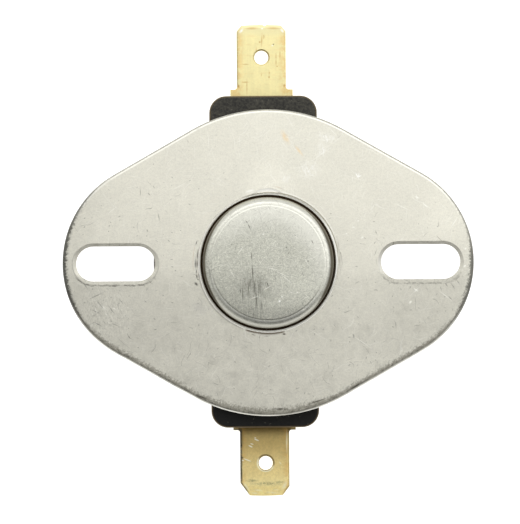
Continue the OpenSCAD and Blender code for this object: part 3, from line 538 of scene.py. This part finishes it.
    # Painted highlight on the rounded lip of the middle hole, pale and less metallic, and painted shade in
    # the opening below it
    wear_and_highlight = look.times(look.step(look.radius(), 8.86, 8.78), look.step(look.z, -0.42, -0.26))
    wear_and_highlight = look.times(wear_and_highlight, look.step(look.towards(72), 0.60, 0.95, (1.0, 0.25)))
    colour = look.mix(wear_and_highlight, colour, (0.97, 0.96, 0.90, 1.0))
    crevice_shade = look.times(look.step(look.z, -0.42, -0.70), look.step(look.radius(), 9.4, 9.2))
    colour = look.mix(crevice_shade, colour, CREVICE_SHADE)
    relief = look.bump(look.plus(grain, look.times(look.plus(fine, pale), -1.0)), 3.0)
    roughness = look.plus(look.step(mottle, 0.3, 0.7, (0.36, 0.44)), look.times(rim, 0.15))
    metal = look.minus(1.0, look.times(look.maximum(wear_and_highlight, sunk), 0.8))
    return look.surface(Base_Color=colour, Metallic=metal, Roughness=roughness, Normal=relief)


def cap_metal():
    look = Look("cap_aluminium")
    mottle = look.noise(0.9, 4.0, 0.7)
    grain = look.noise(3.6, 4.0, 0.75)
    r = look.radius()
    tone = look.plus(look.step(mottle, 0.3, 0.7, (0.94, 1.06)), look.step(grain, 0.25, 0.75, (-0.10, 0.10)))
    tone = look.plus(tone, look.step(look.noise(7.0, 2.0, 0.7), 0.3, 0.7, (-0.20, 0.20)))
    colour = look.shade((0.535, 0.535, 0.462, 1.0), tone)
    # Painted light: a paler colour over the upper right of the face
    upper_right_painted_light = look.times(look.step(r, look.step(look.towards(80), 0.2, 0.9, (4.2, 2.5)), 6.8),
                      look.step(look.towards(68), -0.55, 0.95, (0.0, 0.80)))
    colour = look.mix(upper_right_painted_light, colour, (0.650, 0.645, 0.580, 1.0))
    face = look.step(look.z, 1.80, 1.90)

    # Scratches on the face: pale and dark hairs, and a bundle of dark streaks at the lower left
    pale = look.scratches(0.8, 2.6, 0.08, 0.7, bend=2.2)
    hairs = look.scratches(1.0, 2.0, 0.08, 0.6, bend=2.2)
    short = look.scratches(2.2, 0.7, 0.07, 0.6, bend=1.0)
    glints = look.scratches(1.8, 0.9, 0.07, 0.6, bend=1.4)
    colour = look.lay(colour, BRIGHT, 0.38, pale)
    colour = look.lay(colour, GRIME_AND_SHADE, 0.32, hairs)
    colour = look.lay(colour, GRIME_AND_SHADE, 0.34, short)
    colour = look.lay(colour, BRIGHT, 0.40, glints)
    # Painted light at the lower left edge of the face and a spot at the lower right; painted shade at a spot
    # to the lower left
    painted_light_lift = look.times(look.step(r, 5.0, 6.4), look.step(look.towards(225), 0.4, 0.9, (0.0, 0.12)))
    painted_light_lift = look.plus(painted_light_lift, look.times(look.spot(4.8, -4.0, 3.6, 3.8), 0.13))
    painted_shade_spot = look.times(look.spot(-2.6, -2.8, 5.0, 3.6), 0.14)
    colour = look.shade(colour, look.minus(look.plus(1.0, painted_light_lift), painted_shade_spot))
    streaks = look.noise(1.0, 5.0, 0.85, at=look.stretch(4.6, 0.34))
    lower_part = look.times(look.spot(-1.9, -5.7, 2.3, 1.9, 0.7), 0.65)
    bundle = look.maximum(look.spot(-1.6, -3.1, 2.5, 2.6, 0.9), lower_part)
    bundle = look.times(look.step(streaks, 0.44, 0.64), bundle)
    cloudy = look.step(look.noise(0.8, 4.0, 0.7), 0.38, 0.60)
    cloudy = look.times(cloudy, look.spot(-1.6, -3.6, 3.6, 2.0, 0.8, turn=-10))
    colour = look.lay(colour, GRIME_AND_SHADE, 0.72, look.times(bundle, face))
    colour = look.lay(colour, GRIME_AND_SHADE, 0.22, look.times(cloudy, face))
    colour = look.marks(colour, GRIME_AND_SHADE, 0.85, lines=[
        (-2.12, 1.6, -2.02, 0.0, 0.10), (-2.04, 0.4, -1.90, -2.9, 0.13), (-1.6, -3.0, -1.45, -6.2, 0.11),
        (-3.2, -2.4, -3.25, -5.4, 0.10), (-2.55, -2.0, -2.5, -4.6, 0.09), (-0.9, -4.4, -0.8, -6.4, 0.09),
        (-2.9, 5.4, -2.45, 4.9, 0.09), (-2.6, 5.1, -2.1, 4.0, 0.10), (5.4, 2.9, 5.75, 2.2, 0.10),
        (-1.25, -2.2, -1.1, -3.9, 0.10), (-1.7, -1.9, -1.75, -3.6, 0.09), (2.75, 1.5, 2.4, 0.9, 0.08),
        (-0.3, -2.2, 0.1, -3.2, 0.10), (-3.6, -3.0, -3.4, -4.0, 0.08), (4.2, -1.0, 4.5, -1.9, 0.07)])
    colour = look.marks(colour, BRIGHT, 0.60, lines=[
        (-0.7, -0.5, 1.6, -1.0, 0.07), (0.6, -0.9, 2.9, -2.0, 0.08), (1.2, -1.2, 3.4, -2.9, 0.07),
        (-0.9, -3.6, 0.7, -2.7, 0.07), (3.0, 3.6, 4.1, 2.8, 0.07), (-4.0, 1.0, -2.9, 2.2, 0.07),
        (0.2, 2.2, 1.4, 2.9, 0.06), (4.4, 0.8, 5.2, -0.6, 0.07), (2.2, -3.6, 3.6, -3.9, 0.07),
        (-5.0, -0.6, -4.1, -2.0, 0.07), (-2.6, -4.6, -1.0, -4.1, 0.08)])
    colour = look.marks(colour, GRIME_AND_SHADE, 0.7, spots=[
        (2.3, 1.9, 0.16), (5.0, 0.15, 0.14), (3.4, 3.4, 0.12), (-4.6, 2.3, 0.14)])
    colour = look.marks(colour, (1.0, 1.0, 0.97, 1.0), 0.9, spots=[
        (1.39, -4.84, 0.22), (1.7, -4.3, 0.14), (-0.6, 3.6, 0.12), (3.6, -3.8, 0.12)])

    # Round the face: a crease, partly grime and partly painted shade, strongest at the bottom; painted shade
    # on the steep side left and right
    crease = look.times(look.band(r, CREASE_R, 0.13, 0.03), look.step(look.noise(0.9, 3.0, 0.7), 0.30, 0.60))
    down = look.step(look.towards(262), 0.10, 0.9)
    colour = look.lay(colour, GRIME_AND_SHADE, 0.34, look.times(crease, down))
    # Painted highlight line beside the crease at the bottom
    painted_highlight_line = look.times(look.band(r, PALE_LINE_R, 0.16, 0.04), down)
    colour = look.lay(colour, (0.95, 0.95, 0.88, 1.0), 0.55, painted_highlight_line)
    start = look.step(look.towards(0), 0.40, 0.95, (1.42, 1.78))
    start = look.maximum(start, look.step(look.towards(180), 0.40, 0.95, (1.42, 1.72)))
    start = look.minus(start, look.step(look.towards(270), 0.45, 0.85, (0.0, 0.17)))
    painted_flank_shade = look.times(look.step(look.minus(look.z, start), 0.0, -0.16), look.step(look.z, 0.55, 0.95))
    painted_flank_shade = look.times(painted_flank_shade, look.step(look.absolute(look.towards(0)), 0.30, 0.90, (0.60, 0.88)))
    painted_flank_shade = look.times(painted_flank_shade, look.step(look.towards(270), 0.45, 0.85, (1.0, 0.35)))
    # Painted highlight on the lower rim, less metallic there
    lower_rim_highlight = look.times(look.step(look.towards(270), 0.45, 0.80), look.step(look.z, 1.80, 1.68))
    lower_rim_highlight = look.times(lower_rim_highlight, look.step(look.z, 1.22, 1.36))
    colour = look.lay(colour, (0.80, 0.79, 0.70, 1.0), 0.8, lower_rim_highlight)
    # Painted light: the side wall below made pale for the hole's lip to reflect
    colour = look.mix(look.step(look.z, 0.95, 0.55), colour, (0.80, 0.79, 0.72, 1.0))
    # Painted shade on the steep side left and right
    colour = look.mix(painted_flank_shade, colour, (0.105, 0.088, 0.060, 1.0))
    # Painted shade on the wall deep in the gap
    colour = look.mix(look.step(look.z, -0.40, -0.70), colour, CREVICE_SHADE)
    relief = look.bump(grain, 4.0)
    metal = look.minus(1.0, look.times(lower_rim_highlight, 0.6))
    return look.surface(Base_Color=colour, Metallic=metal, Roughness=0.34, Normal=relief)


def plated_steel(name, colour, roughness=0.35, crevice_r=None):
    """Drawn sheet with fine scratches; where a radius is given, painted shade inside that opening and below
    z -1.6.
    """
    look = Look(name)
    cloud = look.noise(0.4, 3.0, 0.6)
    grain = look.noise(8.0, 3.0, 0.6)
    tone = look.plus(look.step(cloud, 0.3, 0.7, (0.94, 1.05)), look.step(grain, 0.25, 0.75, (-0.04, 0.04)))
    shade = look.shade(colour, tone)
    drawn = look.scratches(0.7, 3.0, 0.06, 0.5, spread=40.0, turn=90.0, bend=1.0)
    shade = look.lay(shade, (0.35, 0.34, 0.31, 1.0), 0.3, drawn)
    if crevice_r:
        # Painted shade inside the opening and low down
        inside = look.step(look.radius(), crevice_r + 0.4, crevice_r)
        painted_gap_shade = look.maximum(inside, look.step(look.z, -3.0, -1.6))
        shade = look.mix(painted_gap_shade, shade, (0.06, 0.05, 0.035, 1.0))
    return look.surface(Base_Color=shade, Metallic=1.0, Roughness=roughness, Normal=look.bump(grain, 2.0))


def brass(name, colour):
    """Plain rolled strip or turned metal."""
    look = Look(name)
    lines = look.noise(1.0, 4.0, 0.6, at=look.stretch(3.2, 0.12))
    grain = look.noise(3.4, 4.0, 0.7)
    tone = look.plus(look.step(lines, 0.3, 0.7, (0.96, 1.04)), look.step(grain, 0.25, 0.75, (-0.06, 0.06)))
    shade = look.shade(colour, tone)
    relief = look.bump(look.plus(lines, grain), 2.0)
    return look.surface(Base_Color=shade, Metallic=1.0, Roughness=0.55, Normal=relief)


def terminal_brass():
    """Rolled strip with the scratches, dent marks and tarnish of both tabs, with painted shadow, painted
    light and painted glints.
    """
    look = Look("terminal_brass")
    lines = look.noise(1.0, 4.0, 0.6, at=look.stretch(3.0, 0.15))
    grain = look.noise(3.4, 4.0, 0.75)
    cloud = look.noise(0.7, 3.0, 0.6)
    low = look.step(look.y, 2.0, -2.0)
    amount = look.step(low, 0.0, 1.0, (0.035, 0.10))
    tone = look.step(grain, 0.25, 0.75, (-1.0, 1.0))
    tone = look.plus(1.0, look.times(tone, amount))
    tone = look.plus(tone, look.step(lines, 0.3, 0.7, (-0.02, 0.02)))
    tone = look.plus(tone, look.step(cloud, 0.3, 0.7, (-0.03, 0.03)))
    colour = look.mix(low, (0.88, 0.80, 0.44, 1.0), (0.90, 0.74, 0.345, 1.0))
    low_blade = look.times(look.step(look.absolute(look.plus(look.x, 0.61)), 3.5, 3.2), low)
    # Painted shadow of the flange and wing on the lower tab's root
    root = look.times(look.step(look.y, -26.6, -23.0), low_blade)
    colour = look.lay(colour, (0.42, 0.265, 0.062, 1.0), 0.45, root)
    # Painted shadow, darkest, next to the wing
    edge = look.times(look.step(look.y, -22.5, -20.8), low_blade)
    colour = look.lay(colour, (0.20, 0.12, 0.03, 1.0), 0.95, edge)
    # Painted light on the lower tab's tip
    tip = look.step(look.y, -26.5, -29.0)
    colour = look.lay(colour, (1.0, 0.88, 0.46, 1.0), 0.8, tip)
    plain = look.shade((0.88, 0.78, 0.42, 1.0), tone)
    front = look.step(look.z, -9.35, -9.20)
    colour = look.shade(colour, tone)

    # Both long edges: orange towards the edge, dark at the left, and pale corners at the tips
    blade = look.maximum(look.step(look.y, 22.3, 22.9), look.step(look.y, -21.0, -21.6))
    side = look.absolute(look.minus(look.x, -0.65))
    orange = look.times(look.step(side, 2.0, 3.0), look.step(look.noise(1.1, 3.0, 0.7), 0.36, 0.6))
    bands = look.step(look.noise(1.0, 3.0, 0.7, at=look.stretch(0.35, 2.2)), 0.50, 0.72)
    bands = look.times(bands, look.minus(1.0, low))
    colour = look.lay(colour, ORANGE, 0.16, bands)
    colour = look.lay(colour, ORANGE, 0.42, orange)
    wear_and_highlight = look.times(blade, look.step(look.noise(0.9, 3.0, 0.8), 0.30, 0.5, (0.5, 1.0)))
    left_x = look.step(low, 0.0, 1.0, (-3.64, -3.42))
    dark_left = look.times(look.step(look.x, left_x, look.minus(left_x, 0.16)), wear_and_highlight)
    colour = look.lay(colour, (0.10, 0.11, 0.10, 1.0), look.step(low, 0.0, 1.0, (0.5, 0.85)), dark_left)
    dark_right = look.times(look.step(look.x, 2.37, 2.50), blade, low)
    colour = look.lay(colour, (0.12, 0.12, 0.07, 1.0), 0.75, dark_right)
    broken = look.step(look.noise(1.6, 3.0, 0.8), 0.35, 0.55, (0.3, 1.0))

    # Upper tab
    colour = look.lay(colour, (0.82, 0.77, 0.48, 1.0), 0.5, look.step(look.y, 28.9, 29.7))
    colour = look.marks(colour, (0.60, 0.38, 0.12, 1.0), 0.62, lines=[
        (-3.1, 30.08, -0.6, 30.14, 0.26), (-0.4, 30.14, 2.2, 30.06, 0.22)])
    colour = look.marks(colour, BROWN, 0.62, broken=broken, lines=[
        (-0.53, 29.9, -0.64, 27.3, 0.14), (-0.34, 29.4, -0.35, 28.6, 0.20), (1.23, 27.4, 1.22, 24.8, 0.12),
        (0.35, 24.9, 0.35, 23.5, 0.15), (-0.66, 24.5, -0.67, 23.8, 0.14), (-2.53, 24.2, -2.55, 21.0, 0.10),
        (-3.5, 25.5, -2.0, 25.49, 0.11), (-3.5, 23.2, -2.0, 23.2, 0.13), (1.75, 27.9, 1.72, 25.6, 0.10),
        (-1.3, 27.9, -1.32, 26.9, 0.10)])
    colour = look.marks(colour, BROWN, 0.75, spots=[
        (-0.85, 28.33, 0.20, 0.16), (1.36, 25.19, 0.12), (0.31, 23.82, 0.14, 0.20),
        (2.26, 22.71, 0.22, 0.3), (-3.6, 22.66, 0.22, 0.35), (0.2, 26.9, 0.14)])
    colour = look.marks(colour, BLACK, 0.85, spots=[(0.91, 28.02, 0.15, 0.12)])
    # Dent marks of the upper tab, pale and less metallic: painted glints
    dents_painted_glint = look.cover(spots=[
        (0.76, 27.86, 0.17, 0.13), (-0.53, 30.06, 0.22, 0.16), (-3.2, 29.8, 0.50, 0.26, 1.0, 50),
        (2.03, 29.77, 0.45, 0.22, 1.0, -50)])

    # Lower tab
    # Dent marks of the lower tab, pale: painted glints
    low_dents_painted_glint = look.cover(spots=[(-3.42, -25.36, 0.18, 0.13)], lines=[
        (-2.15, -22.50, -1.15, -22.95, 0.15), (-2.85, -23.35, -2.0, -23.75, 0.14),
        (-3.6, -25.0, -2.1, -25.6, 0.12), (-2.6, -23.15, -1.9, -23.35, 0.10),
        (-2.0, -22.40, -1.6, -22.52, 0.09)])
    low_dents_painted_glint = look.step(low_dents_painted_glint, 0.10, 0.65)
    colour = look.marks(colour, CREAM, 0.85, broken=broken, lines=[
        (1.1, -25.4, 1.6, -26.0, 0.12), (-2.2, -29.12, -0.7, -29.28, 0.16),
        (-0.8, -29.42, 1.6, -29.58, 0.18), (-2.6, -29.5, -1.2, -29.62, 0.12),
        (0.2, -29.1, 1.4, -29.2, 0.12)])
    colour = look.marks(colour, (1.0, 0.93, 0.62, 1.0), 0.9, lines=[(2.24, -20.9, 2.20, -25.0, 0.15)])
    colour = look.lay(colour, (0.10, 0.08, 0.03, 1.0), 0.55, look.spot(-3.7, -22.6, 0.55, 1.9))
    colour = look.marks(colour, BLACK, 0.90, spots=[
        (-3.62, -23.42, 0.18, 0.45), (-3.50, -25.0, 0.22, 0.20), (-3.66, -22.1, 0.12, 0.7),
        (-3.66, -26.6, 0.12, 1.1)])
    # Painted glints in the dent marks of both tabs
    colour = look.mix(dents_painted_glint, colour, (1.0, 1.0, 0.92, 1.0))
    colour = look.mix(low_dents_painted_glint, colour, (1.0, 0.96, 0.76, 1.0))
    smear = look.noise(1.0, 4.0, 0.8, at=look.stretch(3.2, 4.2, turn=-30))
    colour = look.marks(colour, (0.24, 0.25, 0.13, 1.0), 0.70, broken=look.step(smear, 0.40, 0.56), spots=[
        (-2.3, -27.96, 1.1, 0.28), (-0.3, -28.36, 2.8, 0.36), (1.2, -28.2, 1.0, 0.28)])
    colour = look.marks(colour, (1.0, 0.92, 0.60, 1.0), 0.70, broken=look.step(smear, 0.42, 0.32), spots=[
        (-0.5, -28.3, 2.9, 0.50), (-0.5, -29.3, 2.6, 0.40)])
    lower_ring = look.band(look.radius(*LOWER_HOLE), LOWER_RING_R, 0.18, 0.05)
    lit = look.step(look.plus(look.times(look.x, 0.55), look.y), -25.45, -26.1)
    colour = look.lay(colour, (1.0, 0.95, 0.68, 1.0), 0.95, look.times(lower_ring, lit))
    shaded = look.step(look.plus(look.times(look.x, 0.5), look.y), -26.1, -25.4)
    colour = look.lay(colour, (0.16, 0.11, 0.04, 1.0), 0.7, look.times(lower_ring, shaded))
    colour = look.marks(colour, CREAM, 0.75, lines=[
        (-3.50, -28.05, -2.45, -29.5, 0.24), (2.30, -27.9, 1.45, -29.4, 0.34)])
    colour = look.marks(colour, (0.13, 0.12, 0.07, 1.0), 0.80, lines=[(-3.95, -27.9, -2.40, -30.0, 0.24)])
    colour = look.marks(colour, (0.36, 0.26, 0.11, 1.0), 0.60, lines=[(2.70, -28.3, 1.50, -30.0, 0.20)])

    # Rings and edges of the latch holes
    upper_ring = look.band(look.radius(*UPPER_HOLE), UPPER_RING_R, 0.12, 0.03)
    upper_shade = look.step(look.plus(look.x, look.y), 25.7, 26.6)
    colour = look.lay(colour, (0.30, 0.20, 0.07, 1.0), 0.6, look.times(upper_ring, upper_shade))
    upper_edge = look.band(look.radius(*UPPER_HOLE), HOLE_R, 0.12, 0.05)
    colour = look.lay(colour, (0.60, 0.45, 0.19, 1.0), 0.55, upper_edge)
    lower_edge = look.band(look.radius(*LOWER_HOLE), HOLE_R, 0.12, 0.05)
    colour = look.lay(colour, (0.48, 0.36, 0.14, 1.0), 0.60, lower_edge)
    relief = look.bump(look.plus(lines, look.times(grain, 1.5)), 3.0)
    colour = look.mix(front, plain, colour)
    roughness = look.step(look.y, -28.2, -29.0, (0.55, 0.72))
    metal = look.minus(1.0, look.times(dents_painted_glint, front, 0.6))
    return look.surface(Base_Color=colour, Metallic=metal, Roughness=roughness, Normal=relief)


def phenolic():
    look = Look("phenolic")
    grain = look.noise(3.0, 4.0, 0.7)
    flow = look.noise(0.5, 3.0, 0.6, distortion=0.6)
    tone = look.plus(look.step(flow, 0.3, 0.7, (0.85, 1.15)), look.step(grain, 0.3, 0.72, (-0.75, 0.95)))
    # Darker towards the bottom: painted shade of the lower wing under the flange
    tone = look.times(tone, look.step(look.y, -12.0, 12.0, (0.12, 1.0)))
    colour = look.shade((0.033, 0.031, 0.024, 1.0), tone)

    # Brown outline of the wings, and pale dust on them
    bx, by = (BODY_LOW.x + BODY_HIGH.x) / 2, (BODY_LOW.y + BODY_HIGH.y) / 2
    qx = look.minus(look.absolute(look.minus(look.x, bx)), WING_HALF - WING_R)
    qy = look.minus(look.absolute(look.minus(look.y, by)), (BODY_HIGH.y - BODY_LOW.y) / 2 - WING_R)
    px, py = look.maximum(qx, 0.0), look.maximum(qy, 0.0)
    corner = look.hypot(px, py)
    depth = look.minus(WING_R, look.plus(corner, look.math("MINIMUM", look.maximum(qx, qy), 0.0)))
    gold = look.times(look.step(depth, 0.26, 0.06), look.step(depth, -0.30, -0.05))
    gold = look.times(gold, look.step(look.z, -4.95, -4.70))
    colour = look.lay(colour, (0.20, 0.135, 0.05, 1.0), 0.55, gold)
    dust = look.specks(1.3, 0.14, 0.4)
    colour = look.lay(colour, (0.30, 0.28, 0.22, 1.0), 0.25, dust)
    relief = look.bump(grain, 14.0)
    roughness = look.step(grain, 0.3, 0.7, (0.42, 0.60))
    return look.surface(Base_Color=colour, Roughness=roughness, Normal=relief, Specular_IOR_Level=0.3)


def ceramic():
    look = Look("ceramic")
    grain = look.noise(5.0, 4.0, 0.6)
    colour = look.shade((0.84, 0.81, 0.74, 1.0), look.step(grain, 0.3, 0.7, (0.95, 1.03)))
    return look.surface(Base_Color=colour, Roughness=0.55, Normal=look.bump(grain, 6.0))


def amber_film():
    look = Look("amber_film")
    cloud = look.noise(0.5, 2.0)
    colour = look.mix(cloud, (0.55, 0.26, 0.05, 1.0), (0.68, 0.36, 0.09, 1.0))
    return look.surface(Base_Color=colour, Roughness=0.25, Normal=look.bump(look.noise(2.0, 3.0), 3.0))


def paint(mesh, material):
    mesh.materials.clear()
    mesh.materials.append(material)


def dress(node, material):
    """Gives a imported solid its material."""
    paint(NODES[node].data, material)


def own_copy(node, cuts=()):
    """A piece of its own in a solid's exact form, cut across at places along Y so that it can bend."""
    mesh = NODES[node].data.copy()
    mesh.name = node + "_form"
    shape = bmesh.new()
    shape.from_mesh(mesh)
    for y in cuts:
        everything = shape.verts[:] + shape.edges[:] + shape.faces[:]
        bmesh.ops.bisect_plane(shape, geom=everything, plane_co=(0, y * MM, 0), plane_no=(0, 1, 0))
    shape.to_mesh(mesh)
    shape.free()
    piece = bpy.data.objects.new(node + "_piece", mesh)
    bpy.context.scene.collection.objects.link(piece)
    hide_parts(node)
    return piece


def spring_arm(material):
    """The spring arm as a piece of its own, cut across at even steps starting just behind the hinge of its
    bend; at its clamped root the solid is rigid.
    """
    hinge = next(j for j in frame["joints"] if j["name"] == "arm_bend")
    line = Vector(hinge["pos_m"]) / MM
    piece = own_copy("contact_arm", [line.y + BEND_START - BEND_CUT_STEP * i for i in range(BEND_CUTS)])
    paint(piece.data, material)
    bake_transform(piece)


def snap_disc(material):
    """The disc as a piece of its own, attached to the housing; the real disc flattens as it snaps and pushes
    the pin.
    """
    piece = own_copy("bimetal_disc")
    paint(piece.data, material)
    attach(piece, "housing")
    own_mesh(piece)


def camera():
    data = bpy.data.cameras.new("camera")
    data.sensor_width = SENSOR
    data.lens = SENSOR * CAMERA_HEIGHT / FIELD_HEIGHT
    data.clip_start = 0.01
    rig = bpy.data.objects.new("camera", data)
    rig.location = Vector((*CAMERA_OFFSET, CAMERA_HEIGHT)) * MM
    rig.rotation_euler = (0, 0, math.radians(CAMERA_TURN))
    bpy.context.scene.collection.objects.link(rig)
    bpy.context.scene.camera = rig


def soft_light():
    """The rectangular soft box, turned in its own plane, that shines straight down."""
    data = bpy.data.lights.new("overhead", "AREA")
    data.shape = "RECTANGLE"
    data.size, data.size_y = PANEL_SIZE[0] * MM, PANEL_SIZE[1] * MM
    data.energy = PANEL_LIGHT * math.pi * data.size * data.size_y
    turn = math.radians(PANEL_TURN)
    half = PANEL_SIZE[1] / 2
    lamp = bpy.data.objects.new("overhead", data)
    place = (PANEL_EDGE[0] - math.sin(turn) * half, PANEL_EDGE[1] + math.cos(turn) * half, PANEL_Z)
    lamp.location = Vector(place) * MM
    lamp.rotation_euler = (0, 0, turn)
    lamp.visible_camera = False
    bpy.context.scene.collection.objects.link(lamp)


def floor():
    """A white sheet, bright enough to lose the shadows as in the photograph, and clear from below."""
    mesh = bpy.data.meshes.new("floor")
    half, z = FLOOR_HALF * MM, FLOOR_Z * MM
    corners = [(-half, -half, z), (half, -half, z), (half, half, z), (-half, half, z)]
    mesh.from_pydata(corners, [], [(0, 1, 2, 3)])
    sheet = bpy.data.objects.new("floor", mesh)
    bpy.context.scene.collection.objects.link(sheet)
    look = Look("floor_sheet")
    white = look.add("ShaderNodeBsdfPrincipled")
    white.inputs["Base Color"].default_value = FLOOR_GREY
    white.inputs["Roughness"].default_value = 0.9
    white.inputs["Specular IOR Level"].default_value = 0.0
    white.inputs["Emission Color"].default_value = WHITE
    white.inputs["Emission Strength"].default_value = FLOOR_GLOW
    clear = look.add("ShaderNodeBsdfTransparent")
    side = look.add("ShaderNodeNewGeometry").outputs["Backfacing"]
    blend = look.add("ShaderNodeMixShader")
    look.feed(blend.inputs[0], side)
    look.feed(blend.inputs[1], white.outputs[0])
    look.feed(blend.inputs[2], clear.outputs[0])
    out = look.add("ShaderNodeOutputMaterial")
    look.feed(out.inputs["Surface"], blend.outputs[0])
    mesh.materials.append(look.material)


def room_light(tree):
    """Brightness of the room by direction: bright behind the top of the picture, dim low on both sides."""
    def calculate(operation, *values):
        made = tree.nodes.new("ShaderNodeMath")
        made.operation = operation
        for socket, value in zip(made.inputs, values):
            tree.links.new(value, socket)
        return made.outputs[0]

    def ramp(value, low, high, start, end):
        made = tree.nodes.new("ShaderNodeMapRange")
        made.interpolation_type = "SMOOTHSTEP"
        tree.links.new(value, made.inputs["Value"])
        names = ("From Min", "From Max", "To Min", "To Max")
        for name, given in zip(names, (low, high, start, end)):
            made.inputs[name].default_value = given
        return made.outputs[0]

    where = tree.nodes.new("ShaderNodeTexCoord").outputs["Generated"]
    split = tree.nodes.new("ShaderNodeSeparateXYZ")
    tree.links.new(where, split.inputs[0])
    x, y, z = split.outputs
    back = ramp(y, -0.75, 0.3, ROOM_FRONT, ROOM_BACK)
    sides = ramp(calculate("ABSOLUTE", x), 0.8, 0.97, 1.0, ROOM_SIDE)
    top = ramp(z, 0.77, 0.94, 1.0, ROOM_TOP)
    walls = calculate("MULTIPLY", back, sides)
    walls = calculate("MAXIMUM", walls, ramp(z, 0.55, 0.80, ROOM_LOW, 0.0))
    return calculate("MULTIPLY", walls, top)


def studio():
    """The plain white that the camera sees, the room that lights the part, and the soft box."""
    scene = bpy.context.scene
    scene.view_settings.view_transform = "Standard"
    world = bpy.data.worlds.new("studio")
    world.use_nodes = True
    scene.world = world
    tree = world.node_tree
    tree.nodes.clear()
    seen = tree.nodes.new("ShaderNodeBackground")
    seen.inputs["Color"].default_value = WHITE
    room = tree.nodes.new("ShaderNodeBackground")
    room.inputs["Color"].default_value = WHITE
    tree.links.new(room_light(tree), room.inputs["Strength"])
    path = tree.nodes.new("ShaderNodeLightPath")
    blend = tree.nodes.new("ShaderNodeMixShader")
    out = tree.nodes.new("ShaderNodeOutputWorld")
    tree.links.new(path.outputs["Is Camera Ray"], blend.inputs[0])
    tree.links.new(room.outputs[0], blend.inputs[1])
    tree.links.new(seen.outputs[0], blend.inputs[2])
    tree.links.new(blend.outputs[0], out.inputs["Surface"])
    soft_light()


camera()
studio()
floor()

dress("mounting_flange", flange_metal())
dress("sensor_cap", cap_metal())
dress("clamp_shell", plated_steel("shell_steel", (0.55, 0.54, 0.50, 1.0), crevice_r=9.2))
strip = terminal_brass()
for name in ("terminal_upper", "terminal_lower"):
    dress(name, strip)
inner_strip = brass("inner_strip", (0.86, 0.76, 0.42, 1.0))
for name in ("arm_clamp_plate", "fixed_contact_plate"):
    dress(name, inner_strip)
turned_brass = brass("rivet_brass", (0.83, 0.72, 0.45, 1.0))
for name in ("rivet_upper", "rivet_lower"):
    dress(name, turned_brass)
silver = plated_steel("contact_silver", (0.88, 0.87, 0.84, 1.0), 0.22)
for name in ("moving_contact", "fixed_contact"):
    dress(name, silver)
dress("switch_body", phenolic())
china = ceramic()
for name in ("disc_seat", "transfer_pin"):
    dress(name, china)
dress("insulating_film", amber_film())
spring_arm(brass("spring_bronze", (0.78, 0.52, 0.28, 1.0)))
snap_disc(plated_steel("disc_steel", (0.62, 0.60, 0.56, 1.0), 0.28))
